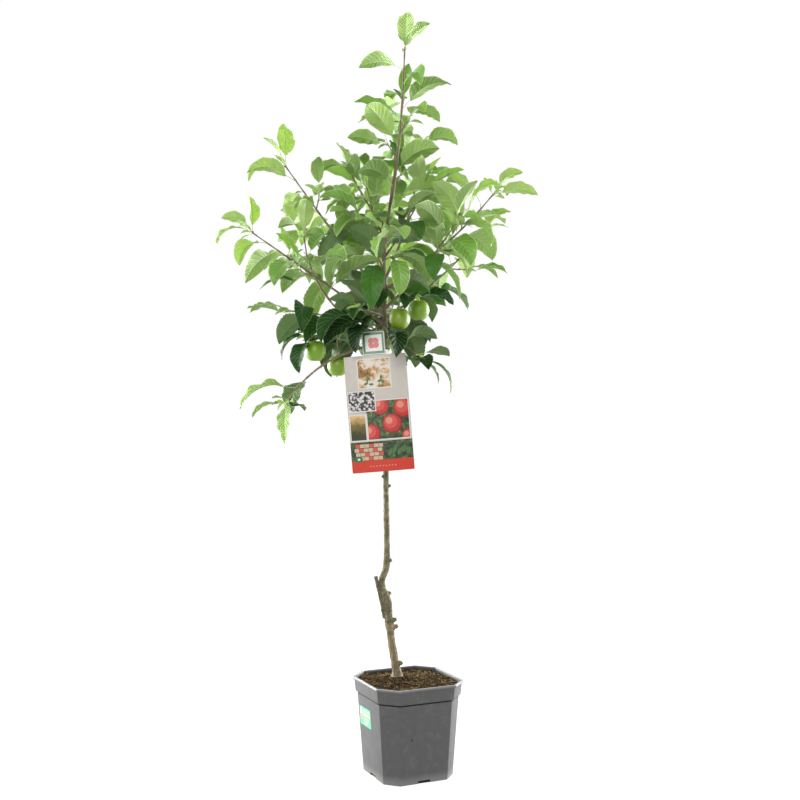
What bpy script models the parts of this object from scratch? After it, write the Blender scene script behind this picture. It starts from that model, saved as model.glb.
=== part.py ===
"""A dwarf apple tree on a grafted trunk, in a square nursery pot with cut-off corners.

Metres, +Z up. The origin is the middle of the pot's flat underside and the pot's walls face the axes.
The tree is laid out in its own frame, seen from its best side: +X to the right, +Y away. It is planted
in the pot turned by PLANTING_TURN. Headings are compass angles in that frame: 0 right, 90 away, 180
left, 270 towards the viewer. Climbs are angles above the level. All angles are in degrees.
"""

import math
import random

import bmesh
import bpy
from mathutils import Matrix, Vector
from mathutils.bvhtree import BVHTree

PLANTING_TURN = -24.4
CLEARANCE = 0.0003

# The pot: distances across the flats, and how far each corner is cut back
POT_HEIGHT = 0.190
POT_WALL = 0.0018
POT_FLOOR = 0.0030
BASE_ACROSS, BASE_CUT = 0.152, 0.025
BODY_ACROSS, BODY_CUT = 0.1750, 0.0315
BAND_ACROSS, BAND_CUT = 0.1816, 0.0330
BAND_TOP_ACROSS, BAND_TOP_CUT = 0.1860, 0.0338
LIP_ACROSS, LIP_CUT = 0.1920, 0.0349
BAND_BOTTOM = 0.1600
LIP_BOTTOM = 0.1845
DRAIN_WIDTH, DRAIN_HEIGHT, DRAIN_DEPTH = 0.026, 0.0055, 0.007

# The potting soil, heaped round the trunk
SOIL_EDGE = 0.1805
SOIL_HEAP = 0.0110
SOIL_ROUGHNESS = 0.0022
SOIL_RINGS = 5
SOIL_SEED = 11

# The trunk: height, across, depth and radius of each station. It is grafted low down, where it kinks
TRUNK_STATIONS = (
    (SOIL_EDGE + SOIL_HEAP + CLEARANCE, -0.0215, 0.000, 0.0135),
    (0.1990, -0.0220, 0.000, 0.0105),
    (0.2120, -0.0240, 0.000, 0.0088),
    (0.2480, -0.0305, 0.001, 0.0084),
    (0.2800, -0.0350, 0.001, 0.0080),
    (0.2960, -0.0370, 0.001, 0.0094),
    (0.3080, -0.0385, 0.000, 0.0086),
    (0.3360, -0.0396, -0.001, 0.0082),
    (0.3530, -0.0440, -0.001, 0.0086),
    (0.3690, -0.0515, 0.000, 0.0082),
    (0.3860, -0.0525, 0.001, 0.0070),
    (0.4030, -0.0468, 0.002, 0.0066),
    (0.4200, -0.0428, 0.002, 0.0074),
    (0.4520, -0.0421, 0.001, 0.0063),
    (0.5500, -0.0437, -0.001, 0.0058),
    (0.6500, -0.0445, 0.000, 0.0057),
    (0.7800, -0.0456, 0.001, 0.0055),
    (0.8750, -0.0462, 0.000, 0.0060),
    (0.9700, -0.0480, 0.001, 0.0058),
    (1.0200, -0.0490, 0.000, 0.0047),
    (1.0700, -0.0468, 0.000, 0.0041),
    (1.1250, -0.0392, 0.000, 0.0037),
)
TRUNK_SIDES, TRUNK_RINGS = 8, 28
TRUNK_GRAIN = 0.06
TRUNK_SEED = 4

# Knobs where side shoots were cut off: height, heading, how far each stands out, and its radius
KNOBS = (
    (0.2170, -15.0, 0.0085, 0.0050),
    (0.2890, 5.0, 0.0100, 0.0048),
    (0.3040, 350.0, 0.0085, 0.0045),
    (0.3570, 20.0, 0.0060, 0.0045),
    (0.4250, 350.0, 0.0050, 0.0040),
    (0.5270, 90.0, 0.0035, 0.0040),
    (0.5760, 10.0, 0.0055, 0.0036),
    (0.5950, 190.0, 0.0050, 0.0036),
    (0.7050, 300.0, 0.0050, 0.0036),
)
# The snag is the rootstock's own dead tip, cut off above the graft
SNAG_FOOT = (-0.0480, 0.000, 0.3120)
SNAG_TIP = (-0.0650, -0.006, 0.3960)
SNAG_RADIUS = 0.0036

# Boughs: where each leaves the trunk, its heading and climb there, how both change, its whole length,
# and the share of that which is bare. The rest is the stem of the mass of leaves at its end. The seeds
# draw the leaves of the stem, of its tip and of each side spur
BOUGHS = {
    "right": dict(
        height=0.976, heading=-5, climb=31, lift=20, sway=4, length=0.295, bare=0.44,
        seeds=(95, 10506, 10756),
    ),
    "left_low": dict(
        height=0.906, heading=186, climb=34, lift=1, sway=-4, length=0.325, bare=0.42,
        seeds=(2254, 2323, 3323),
    ),
    "left_high": dict(
        height=0.957, heading=172, climb=52, lift=3, sway=4, length=0.345, bare=0.44,
        seeds=(2545, 592, 3507),
    ),
    "left_front": dict(
        height=0.884, heading=204, climb=10, lift=76, sway=-8, length=0.275, bare=0.48,
        seeds=(4163, 4924, 2387),
    ),
    "low": dict(
        height=0.866, heading=192, climb=-4, lift=-52, sway=-8, length=0.235, bare=0.68,
        seeds=(5521, 12694),
    ),
    "front": dict(
        height=0.962, heading=268, climb=24, lift=16, sway=8, length=0.185, bare=0.42,
        seeds=(946, 254, 203),
    ),
    "right_front": dict(
        height=0.938, heading=-30, climb=36, lift=14, sway=-8, length=0.230, bare=0.42,
        seeds=(882, 4429, 4214),
    ),
    "right_back": dict(
        height=0.918, heading=30, climb=30, lift=18, sway=-6, length=0.285, bare=0.42,
        seeds=(3512, 2124, 1691),
    ),
    "back_high": dict(
        height=0.992, heading=44, climb=58, lift=24, sway=-4, length=0.315, bare=0.38,
        seeds=(2517, 4820, 2023),
    ),
    "back": dict(
        height=0.944, heading=96, climb=38, lift=12, sway=6, length=0.290, bare=0.42,
        seeds=(4067, 2903, 2479),
    ),
    "left_back": dict(
        height=0.928, heading=138, climb=34, lift=14, sway=4, length=0.300, bare=0.42,
        seeds=(4237, 526, 1753),
    ),
}
BOUGH_FOOT_RADIUS, BOUGH_TIP_RADIUS = 0.0036, 0.0021
BOUGH_SIDES, BOUGH_RINGS = 6, 4

# Short spurs that grow straight from the trunk, in the way of BOUGHS
SPURS = {
    "fruit_front": dict(
        height=0.984, heading=314, climb=-8, lift=-20, sway=0, length=0.078,
        seeds=(630, 1835),
    ),
    "fruit_left": dict(
        height=0.892, heading=176, climb=2, lift=-14, sway=14, length=0.150,
        seeds=(723, 9771),
    ),
    "fruit_back": dict(
        height=0.930, heading=70, climb=4, lift=6, sway=0, length=0.085,
        seeds=(3505, 2023),
    ),
    "upper_left": dict(
        height=1.100, heading=178, climb=50, lift=16, sway=0, length=0.145,
        seeds=(8225, 5668, 1455),
    ),
    "upper_right": dict(
        height=1.040, heading=-18, climb=52, lift=10, sway=0, length=0.150,
        seeds=(629, 6121, 13450),
    ),
    "upper_front": dict(
        height=1.020, heading=238, climb=40, lift=10, sway=0, length=0.105,
        seeds=(3000, 4219, 747),
    ),
    "upper_back": dict(
        height=1.075, heading=118, climb=48, lift=16, sway=0, length=0.150,
        seeds=(4500, 2048, 1439),
    ),
    "inner_right": dict(
        height=0.884, heading=-22, climb=-16, lift=-30, sway=0, length=0.080,
        seeds=(7863, 4257),
    ),
    "inner_front": dict(
        height=0.922, heading=238, climb=10, lift=-10, sway=0, length=0.085,
        seeds=(2075, 3433, 2502),
    ),
    "inner_back": dict(
        height=0.874, heading=128, climb=14, lift=-20, sway=0, length=0.100,
        seeds=(2084, 4852, 4644),
    ),
    "thin_left": dict(
        height=0.900, heading=190, climb=13, lift=-8, sway=4, length=0.190,
        seeds=(2689, 538),
    ),
}
SPUR_RADIUS = 0.0022

# The leader goes on from the trunk's tip to the top of the tree
LEADER = dict(
    climb=80, lift=9, heading=-4, sway=20, length=0.350,
    seeds=(7123, 9097, 13708, 10480, 11212, 10084, 3899, 4961, 13875),
)
LEADER_RADIUS = 0.0035

SHOOT_TIP_RADIUS = 0.0011
SHOOT_SIDES, SHOOT_RINGS = 5, 4

# Leaves: real sizes of a full-grown one, and how they stand
BLADE_LENGTH = 0.104
BLADE_WIDTH = 0.051
BLADE_THICKNESS = 0.0015
PETIOLE_LENGTH = 0.026
PETIOLE_RADIUS = 0.0007
NODE_SPACING = 0.029
DIVERGENCE = 137.5
BLADE_STATIONS = ((0.0, 0.12), (0.31, 0.98), (0.69, 0.80))
SPINE_STEPS = 12
TURN_FREEDOM = 55.0
ENVELOPE = 0.0012
LEAF_DRAWS = 6

# Apples: the spur each hangs from, how far along it, and the apple's middle
APPLE_RADIUS = 0.0212
APPLES = (
    ("fruit_front", 0.66, (-0.0167, -0.060, 0.9123)),
    ("fruit_front", 0.92, (0.0220, -0.030, 0.9322)),
    ("fruit_left", 0.94, (-0.1851, -0.030, 0.8503)),
    ("fruit_left", 0.66, (-0.1430, 0.012, 0.8220)),
    ("fruit_back", 0.90, (-0.0080, 0.092, 0.8930)),
    ("fruit_back", 0.55, (-0.0460, 0.058, 0.8820)),
)
STALK_RADIUS = 0.0009

# The picture label: a plastic card on a strap round the trunk
CARD_WIDTH, CARD_HEIGHT, CARD_THICKNESS = 0.124, 0.232, 0.0009
TAB_WIDTH, TAB_HEIGHT = 0.046, 0.048
CARD_FOOT = (-0.0480, -0.0440, 0.6100)
CARD_LEAN = 4.6
CARD_BOW = 0.006
CARD_COLUMNS, CARD_ROWS = 8, 2
STRAP_HEIGHT = 0.010
STRAP_LEVEL = 0.850


def direction(heading, climb):
    """The unit vector with this heading and climb."""
    h, c = math.radians(heading), math.radians(climb)
    return Vector((math.cos(h) * math.cos(c), math.sin(h) * math.cos(c), math.sin(c)))


def blend(a, b, share):
    return a + (b - a) * share


def smooth_through(rows, count):
    """count rows of numbers on a smooth curve through rows, evenly spread over them."""
    ends = [rows[0], *rows, rows[-1]]
    found = []
    for i in range(count):
        at = i * (len(rows) - 1) / (count - 1)
        k = min(int(at), len(rows) - 2)
        t = at - k
        found.append(
            tuple(
                b + t / 2 * (c - a + t * (2 * a - 5 * b + 4 * c - d + t * (3 * (b - c) + d - a)))
                for a, b, c, d in zip(*ends[k : k + 4])
            )
        )
    return found


def run_line(start, steps, length, heading, climb, lift=0.0, sway=0.0):
    """Points of a limb from start, whose climb changes evenly by lift and whose heading by sway."""
    points = [Vector(start)]
    for i in range(steps):
        share = (i + 0.5) / steps
        way = direction(heading + sway * share, climb + lift * share)
        points.append(points[-1] + way * (length / steps))
    return points


def part_line(points, first, last, steps):
    """steps + 1 points spread evenly over a stretch of a line, between two shares of its length."""
    found = []
    for i in range(steps + 1):
        at = blend(first, last, i / steps) * (len(points) - 1)
        k = min(int(at), len(points) - 2)
        found.append(points[k].lerp(points[k + 1], at - k))
    return found


def tube_data(points, radii, sides, grain=None):
    """Vertices and faces of a closed tube along points, its rings carried on without twisting."""
    last = len(points) - 1
    ways = [(points[min(i + 1, last)] - points[max(i - 1, 0)]).normalized() for i in range(last + 1)]
    across = ways[0].orthogonal().normalized()
    vertices = []
    for i, (point, way, radius) in enumerate(zip(points, ways, radii)):
        across = (across - way * across.dot(way)).normalized()
        other = way.cross(across)
        for k in range(sides):
            turn = 2 * math.pi * k / sides
            swell = grain(i, k) if grain else 1.0
            vertices.append(point + (across * math.cos(turn) + other * math.sin(turn)) * radius * swell)
    faces = []
    for i in range(len(points) - 1):
        for k in range(sides):
            a, b = i * sides + k, i * sides + (k + 1) % sides
            faces.append((a, b, b + sides, a + sides))
    last = (len(points) - 1) * sides
    faces.append(tuple(reversed(range(sides))))
    faces.append(tuple(range(last, last + sides)))
    return vertices, faces


def new_object(name, vertices, faces):
    mesh = bpy.data.meshes.new(name)
    mesh.from_pydata(vertices, [], faces)
    mesh.validate()
    made = bpy.data.objects.new(name, mesh)
    bpy.context.scene.collection.objects.link(made)
    return made


def triangulate(obj):
    """Cuts every face into triangles, so that bent quads keep one shape."""
    work = bmesh.new()
    work.from_mesh(obj.data)
    bmesh.ops.triangulate(work, faces=work.faces)
    work.to_mesh(obj.data)
    work.free()
    return obj


def paint(obj, colour, roughness, metallic=0.0):
    """A Principled material of the piece's own."""
    material = bpy.data.materials.new(obj.name)
    material.use_nodes = True
    shader = material.node_tree.nodes["Principled BSDF"]
    shader.inputs["Base Color"].default_value = (*colour, 1.0)
    shader.inputs["Roughness"].default_value = roughness
    shader.inputs["Metallic"].default_value = metallic
    obj.data.materials.clear()
    obj.data.materials.append(material)
    return obj


def apply_modifiers(obj):
    """Puts the evaluated shape in the object's own mesh."""
    graph = bpy.context.evaluated_depsgraph_get()
    shaped = bpy.data.meshes.new_from_object(obj.evaluated_get(graph))
    obj.modifiers.clear()
    obj.data = shaped


def boolean(obj, operation, other, keep_other=False):
    """One exact Boolean with an object, or with all of a collection, which is then removed."""
    cut = obj.modifiers.new(operation, "BOOLEAN")
    cut.operation = operation
    cut.solver = "EXACT"
    members = [other]
    if isinstance(other, bpy.types.Collection):
        cut.operand_type = "COLLECTION"
        cut.collection = other
        members = list(other.objects)
    else:
        cut.object = other
    apply_modifiers(obj)
    if keep_other:
        return obj
    for member in members:
        bpy.data.objects.remove(member)
    if isinstance(other, bpy.types.Collection):
        bpy.data.collections.remove(other)
    return obj


def drop_scraps(obj):
    """Keeps only the largest connected body."""
    work = bmesh.new()
    work.from_mesh(obj.data)
    left = set(work.verts)
    bodies = []
    while left:
        body, edge = set(), [left.pop()]
        while edge:
            vertex = edge.pop()
            body.add(vertex)
            near = [e.other_vert(vertex) for e in vertex.link_edges]
            edge += [v for v in near if v in left]
            left.difference_update(near)
        bodies.append(body)
    bodies.sort(key=len)
    for body in bodies[:-1]:
        bmesh.ops.delete(work, geom=list(body), context="VERTS")
    work.to_mesh(obj.data)
    work.free()
    return len(bodies) - 1


def fuse(name, pieces):
    """One body made of overlapping pieces, each given as vertices and faces."""
    base = triangulate(new_object(name, *pieces[0]))
    group = bpy.data.collections.new(name + "_pieces")
    bpy.context.scene.collection.children.link(group)
    for k, piece in enumerate(pieces[1:]):
        member = triangulate(new_object(f"{name}_piece_{k}", *piece))
        bpy.context.scene.collection.objects.unlink(member)
        group.objects.link(member)
    if not group.objects:
        bpy.data.collections.remove(group)
        return base
    boolean(base, "UNION", group)
    drop_scraps(base)
    return base


def octagon(across, cut, z, inset=0.0):
    """The eight corners of a square with cut-off corners, moved in by inset on every face."""
    half = across / 2 - inset
    side = half - cut + inset * (2 - math.sqrt(2))
    corners = [(-half, side), (-half, -side), (-side, -half), (side, -half)]
    corners += [(half, -side), (half, side), (side, half), (-side, half)]
    return [Vector((x, y, z)) for x, y in corners]


def stack(rings):
    """Vertices and faces of a closed body that passes through rings of equal length, in order."""
    count = len(rings[0])
    vertices = [corner for ring in rings for corner in ring]
    faces = []
    for i in range(len(rings) - 1):
        for k in range(count):
            a, b = i * count + k, i * count + (k + 1) % count
            faces.append((a, b, b + count, a + count))
    last = (len(rings) - 1) * count
    faces.append(tuple(reversed(range(count))))
    faces.append(tuple(range(last, last + count)))
    return vertices, faces


def body_across(z):
    """Distance across the flats and corner cut of the pot's tapering body at height z."""
    share = z / BAND_BOTTOM
    return blend(BASE_ACROSS, BODY_ACROSS, share), blend(BASE_CUT, BODY_CUT, share)


def make_pot():
    """The shell: out and up the outside, over the lip, and down the inside to the floor."""
    step = 0.0004
    rings = [
        octagon(BASE_ACROSS, BASE_CUT, 0.0),
        octagon(BODY_ACROSS, BODY_CUT, BAND_BOTTOM),
        octagon(BAND_ACROSS, BAND_CUT, BAND_BOTTOM + step),
        octagon(BAND_TOP_ACROSS, BAND_TOP_CUT, LIP_BOTTOM),
        octagon(LIP_ACROSS, LIP_CUT, LIP_BOTTOM + step),
        octagon(LIP_ACROSS, LIP_CUT, POT_HEIGHT),
        octagon(BAND_TOP_ACROSS, BAND_TOP_CUT, POT_HEIGHT, POT_WALL),
        octagon(BAND_ACROSS, BAND_CUT, BAND_BOTTOM + POT_WALL, POT_WALL),
        octagon(BODY_ACROSS, BODY_CUT, BAND_BOTTOM, POT_WALL),
        octagon(*body_across(POT_FLOOR), POT_FLOOR, POT_WALL),
    ]
    pot = new_object("pot", *stack(rings))
    for k in range(4):
        turn = Matrix.Rotation(k * math.pi / 2, 4, "Z")
        reach = BASE_ACROSS / 2 + 0.004
        middle = Vector((0.0, -reach + (DRAIN_DEPTH + 0.004) / 2, DRAIN_HEIGHT / 2 - 0.001))
        size = Vector((DRAIN_WIDTH, DRAIN_DEPTH + 0.004, DRAIN_HEIGHT + 0.002))
        boolean(pot, "DIFFERENCE", new_box(f"drain_{k}", turn, middle, size))
    return paint(pot, (0.075, 0.082, 0.080), 0.42)


def new_box(name, turn, middle, size):
    corners = []
    for z in (-0.5, 0.5):
        for x, y in ((-0.5, -0.5), (0.5, -0.5), (0.5, 0.5), (-0.5, 0.5)):
            corners.append(turn @ (middle + Vector((x * size.x, y * size.y, z * size.z))))
    return new_object(name, *stack([corners[:4], corners[4:]]))


def soil_height(x, y, rough):
    """The heap: level at the wall, highest round the trunk's foot and level under it."""
    foot = TRUNK_STATIONS[0]
    centre = Matrix.Rotation(math.radians(PLANTING_TURN), 2) @ Vector((foot[1], foot[2]))
    away = (Vector((x, y)) - centre).length
    swell = math.exp(-((away / 0.045) ** 2))
    flat = min(1.0, max(0.0, (away - 0.020) / 0.012))
    return SOIL_EDGE + SOIL_HEAP * swell ** flat + rough * flat


def make_soil():
    """The soil that fills the pot. Its top is a fan of rings, drawn in to a flat spot at the trunk."""
    rng = random.Random(SOIL_SEED)
    gap = POT_WALL + CLEARANCE
    foot_z = POT_FLOOR + CLEARANCE
    rings = [
        octagon(*body_across(foot_z), foot_z, gap),
        octagon(BODY_ACROSS, BODY_CUT, BAND_BOTTOM, gap),
        octagon(BAND_ACROSS, BAND_CUT, BAND_BOTTOM + POT_WALL, gap),
    ]
    share = (SOIL_EDGE - BAND_BOTTOM) / (POT_HEIGHT - BAND_BOTTOM)
    across = blend(BAND_ACROSS, BAND_TOP_ACROSS, share)
    cut = blend(BAND_CUT, BAND_TOP_CUT, share)
    rim = octagon(across, cut, SOIL_EDGE, gap)

    def spread(ring):
        """Each octagon has three points on every side, to match the top's spokes."""
        return [ring[k].lerp(ring[(k + 1) % 8], j / 3) for k in range(8) for j in range(3)]

    rings = [spread(ring) for ring in rings]
    rings.append(spread(rim))
    foot = TRUNK_STATIONS[0]
    centre = Matrix.Rotation(math.radians(PLANTING_TURN), 3, "Z") @ Vector((foot[1], foot[2], 0.0))
    top = spread(rim)
    for i in range(1, SOIL_RINGS + 1):
        share = 1 - i / (SOIL_RINGS + 0.6)
        ring = []
        for point in top:
            x = blend(centre.x, point.x, share)
            y = blend(centre.y, point.y, share)
            ring.append(Vector((x, y, soil_height(x, y, rng.uniform(-1, 1) * SOIL_ROUGHNESS))))
        rings.append(ring)
    return paint(triangulate(new_object("soil", *stack(rings))), (0.055, 0.032, 0.020), 0.95)


def trunk_rows():
    """Height, across, depth and radius at each of the trunk's rings."""
    return smooth_through(TRUNK_STATIONS, TRUNK_RINGS)


def trunk_at(height):
    """The trunk's middle and its radius at a height."""
    rows = trunk_rows()
    k = next(i for i in range(1, len(rows)) if rows[i][0] >= height or i == len(rows) - 1)
    share = (height - rows[k - 1][0]) / (rows[k][0] - rows[k - 1][0])
    z, across, depth, radius = (blend(a, b, share) for a, b in zip(rows[k - 1], rows[k]))
    return Vector((across, depth, height)), radius


def trunk_tube(growth=0.0):
    """The trunk from its flat cut at the soil to the leader. growth makes it thicker, as a cutter."""
    rng = random.Random(TRUNK_SEED)
    uneven = [[1 + TRUNK_GRAIN * rng.uniform(-1, 1) for _ in range(TRUNK_SIDES)] for _ in range(TRUNK_RINGS)]
    rows = trunk_rows()
    points = [Vector((across, depth, z)) for z, across, depth, _ in rows]
    radii = [radius + growth for *_, radius in rows]
    vertices, faces = tube_data(points, radii, TRUNK_SIDES, lambda i, k: uneven[i][k])
    for vertex in vertices[:TRUNK_SIDES]:
        vertex.z = points[0].z
    return vertices, faces


def make_trunk():
    """The trunk with its pruning knobs and the snag above the graft, fused into one body."""
    pieces = [trunk_tube()]
    for height, heading, stand, radius in KNOBS:
        middle, trunk_radius = trunk_at(height)
        way = direction(heading, 18)
        reach = trunk_radius + stand - radius
        points = [middle + way * (reach * s) for s in (0.2, 1.0)]
        points.append(points[-1] + way * radius * 0.7)
        pieces.append(tube_data(points, [radius, radius * 1.1, radius * 0.55], 6))
    foot, tip = Vector(SNAG_FOOT), Vector(SNAG_TIP)
    start = foot.lerp(trunk_at(foot.z)[0], 0.8)
    snag = [start, foot, foot.lerp(tip, 0.35) + Vector((0.0010, 0, 0)), foot.lerp(tip, 0.7), tip]
    pieces.append(tube_data(snag, [SNAG_RADIUS * s for s in (0.7, 0.9, 1.0, 0.92, 1.05)], 7))
    return paint(fuse("trunk", pieces), (0.20, 0.17, 0.10), 0.85)


def limb_foot(limb):
    """Where a limb's middle line leaves the trunk's own middle."""
    return trunk_at(limb["height"])[0]


def limb_line(limb):
    shape = {key: limb[key] for key in ("length", "heading", "climb", "lift", "sway")}
    return run_line(limb_foot(limb), 24, **shape)


def leader_line():
    """The leader's middle line, which starts clear of the trunk's tip and bends to the tree's top."""
    z, across, depth, _ = trunk_rows()[-1]
    foot = Vector((across, depth, z + CLEARANCE))
    shape = {key: LEADER[key] for key in ("length", "heading", "climb", "lift", "sway")}
    return run_line(foot, 24, **shape)


def make_bough(name, limb, cutter):
    """The bare inner stretch of a bough, cut clear of the trunk."""
    line = part_line(limb_line(limb), 0.0, limb["bare"], BOUGH_RINGS)
    radii = [blend(BOUGH_FOOT_RADIUS, BOUGH_TIP_RADIUS, i / BOUGH_RINGS) for i in range(BOUGH_RINGS + 1)]
    bough = triangulate(new_object("bough_" + name, *tube_data(line, radii, BOUGH_SIDES)))
    boolean(bough, "DIFFERENCE", cutter, keep_other=True)
    drop_scraps(bough)
    return paint(bough, (0.16, 0.11, 0.07), 0.8)


def leaf_spine(leaf, extra=0.0):
    """The root of the leaf's stalk, and the middle line of its blade as (point, way, side) rows.

    The blade starts out at its own rise and bends over by its droop."""
    level = direction(leaf["heading"] + 90, 0)
    point = leaf["root"] + direction(leaf["heading"], leaf["stalk_rise"]) * leaf["stalk"]
    step = (leaf["length"] + extra) / SPINE_STEPS
    rows = []
    for i in range(SPINE_STEPS + 1):
        share = i / SPINE_STEPS
        way = direction(leaf["heading"] + leaf["hook"] * share, leaf["rise"] - leaf["droop"] * share)
        roll = Matrix.Rotation(math.radians(leaf["roll"] * (0.5 + 0.5 * share)), 3, way)
        side = roll @ (level - way * level.dot(way)).normalized()
        rows.append((point.copy(), way, side))
        point += way * step
    return rows


def leaf_data(leaf, swell=0.0):
    """Vertices and faces of one leaf: a stalk and a folded, bent blade of four stations and a tip.

    swell makes every part of the blade larger, for testing what it would touch."""
    rows = leaf_spine(leaf, swell)
    fold = math.radians(leaf["fold"])
    vertices = []

    def ring(point, way, side, half_width, half_thickness, lift):
        normal = side.cross(way)
        raised = normal * -lift
        vertices.append(point + side * half_width + raised)
        vertices.append(point - normal * half_thickness)
        vertices.append(point - side * half_width + raised)
        vertices.append(point + normal * half_thickness)

    ring(leaf["root"], *rows[0][1:], PETIOLE_RADIUS, PETIOLE_RADIUS, 0.0)
    for share, wide in BLADE_STATIONS:
        point, way, side = rows[round(share * SPINE_STEPS)]
        half = leaf["width"] / 2 * wide + swell
        thick = max(BLADE_THICKNESS / 2 * (1.15 - 0.5 * share), PETIOLE_RADIUS * (1 - 4 * share)) + swell / 2
        ring(point, way, side, half * math.cos(fold), thick, half * math.sin(fold) * min(1, 4 * share))
    vertices.append(rows[-1][0])
    faces = [(0, 3, 2, 1)]
    rings = (len(vertices) - 1) // 4
    for i in range(rings - 1):
        for k in range(4):
            a, b = i * 4 + k, i * 4 + (k + 1) % 4
            faces += [(a, b, a + 4), (b, b + 4, a + 4)] if k % 2 else [(a, b, b + 4), (a, b + 4, a + 4)]
    last = (rings - 1) * 4
    for k in range(4):
        faces.append((last + k, last + (k + 1) % 4, len(vertices) - 1))
    return vertices, faces


def blade_only(data):
    """The blade's share of leaf_data, without the stalk, as loose faces for a touch test."""
    vertices, faces = data
    return vertices[4:], [tuple(v - 4 for v in face) for face in faces if min(face) >= 4]


class Crown:
    """Everything placed so far, so that each new leaf can be kept off it."""

    def __init__(self):
        self.placed = []

    def add(self, owner, data):
        vertices, faces = data
        low = Vector([min(v[i] for v in vertices) for i in range(3)])
        high = Vector([max(v[i] for v in vertices) for i in range(3)])
        self.placed.append((owner, low, high, BVHTree.FromPolygons(vertices, faces)))

    def touches(self, data, skip=None):
        """True if these faces cross anything placed, apart from what skip owns."""
        vertices, faces = data
        low = [min(v[i] for v in vertices) for i in range(3)]
        high = [max(v[i] for v in vertices) for i in range(3)]
        tree = None
        for owner, lowest, highest, other in self.placed:
            if owner == skip:
                continue
            if any(low[i] > highest[i] or high[i] < lowest[i] for i in range(3)):
                continue
            tree = tree or BVHTree.FromPolygons(vertices, faces)
            if tree.overlap(other):
                return True
        return False


def heading_of(way):
    return math.degrees(math.atan2(way.y, way.x))


def climb_of(way):
    return math.degrees(math.asin(max(-1.0, min(1.0, way.z))))


def leaf_at(seed, root, way, turn, spread, size):
    """A leaf that leaves a shoot at root, turned round it by turn and spread from its way."""
    rng = random.Random(seed)
    across = way.cross(Vector((0, 0, 1)))
    across = across.normalized() if across.length > 0.05 else Vector((1, 0, 0))
    out = Matrix.Rotation(math.radians(turn + rng.uniform(-1, 1) * TURN_FREEDOM), 3, way) @ across
    spread = math.radians(spread + rng.uniform(-14, 10))
    start = (way * math.cos(spread) + out * math.sin(spread)).normalized()
    stalk_rise = max(-50.0, climb_of(start))
    upright = max(0.0, stalk_rise - 40) / 50
    return dict(
        root=root,
        heading=heading_of(start),
        stalk_rise=stalk_rise,
        stalk=PETIOLE_LENGTH * rng.uniform(0.7, 1.3) * (0.5 + 0.5 * size),
        rise=blend(stalk_rise, 18.0, rng.uniform(0.0, 0.9) * (1 - upright)) + rng.uniform(-12, 12),
        length=BLADE_LENGTH * size * rng.uniform(0.86, 1.10),
        width=BLADE_WIDTH * size * rng.uniform(0.86, 1.08),
        droop=rng.uniform(45, 120) * (1 - 0.5 * upright) * min(1.0, 0.45 + 0.55 * size),
        hook=rng.uniform(-24, 24),
        roll=rng.uniform(-65, 65),
        fold=rng.uniform(12, 34),
    )


def point_on(line, share):
    """The point at a share of a line's length, and the line's way there."""
    at = share * (len(line) - 1)
    k = min(int(at), len(line) - 2)
    return line[k].lerp(line[k + 1], at - k), (line[k + 1] - line[k]).normalized()


def leaf_places(line, turn, first, tip_leaves, size):
    """Where the leaves of one shoot stand: root, way, turn, spread and size, in their spiral order."""
    length = sum((b - a).length for a, b in zip(line, line[1:]))
    count = max(1, round(length * (1 - first) / NODE_SPACING))
    rows = []
    for i in range(count):
        rows.append((blend(first, 0.93, i / count), 62.0, 0.80 + 0.20 * min(1, 2 * (1 - i / count))))
    rows += [(0.985, 42.0 - 9.0 * i, 0.82 - 0.12 * i) for i in range(tip_leaves)]
    return [
        (*point_on(line, at), turn + DIVERGENCE * k, spread, size * part)
        for k, (at, spread, part) in enumerate(rows)
    ]


def shoot_tube(line, foot_radius):
    radii = [blend(foot_radius, SHOOT_TIP_RADIUS, i / (len(line) - 1)) for i in range(len(line))]
    return tube_data(line, radii, SHOOT_SIDES)


def side_shoots(rng, line, count, length):
    """Short spurs that branch from a stem by the same spiral as the leaves."""
    found = []
    turn = rng.uniform(0, 360)
    for i in range(count):
        turn += DIVERGENCE
        root, way = point_on(line, blend(0.15, 0.70, (i + 0.5) / count))
        across = Matrix.Rotation(math.radians(turn), 3, way) @ way.orthogonal().normalized()
        start = (way * 0.62 + across * 0.78).normalized()
        reach = length * rng.uniform(0.6, 1.2)
        found.append(run_line(root, 3, reach, heading_of(start), climb_of(start), lift=14))
    return found


def apple_data(centre):
    """An apple: a turned outline with a dimple at the stalk and a shallow one at the eye."""
    outline = ((0.10, 0.72), (0.42, 0.93), (0.84, 0.62), (1.0, 0.10))
    outline += ((0.88, -0.48), (0.50, -0.92), (0.14, -0.84))
    sides = 10
    rings = []
    for radius, z in reversed(outline):
        ring = []
        for k in range(sides):
            turn = 2 * math.pi * k / sides
            ring.append(centre + Vector((math.cos(turn) * radius, math.sin(turn) * radius, z)) * APPLE_RADIUS)
        rings.append(ring)
    return stack(rings)


def apple_stalk(start, centre):
    """The stalk, which arches out of its spur and comes straight down into the dimple."""
    top = centre + Vector((0, 0, APPLE_RADIUS * 0.5))
    over = Vector((top.x, top.y, max(start.z, top.z + 0.012)))
    points = []
    for i in range(5):
        t = i / 4
        points.append(start * (1 - t) ** 2 + over * 2 * t * (1 - t) + top * t**2)
    return tube_data(points, [STALK_RADIUS] * 5, 4)


def hang_apples(name, line):
    """The apples of one spur, each with its stalk, as pieces to fuse."""
    pieces = []
    for spur, share, centre in APPLES:
        if spur == name:
            pieces.append(apple_stalk(point_on(line, share)[0], Vector(centre)))
            pieces.append(apple_data(Vector(centre)))
    return pieces


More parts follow.
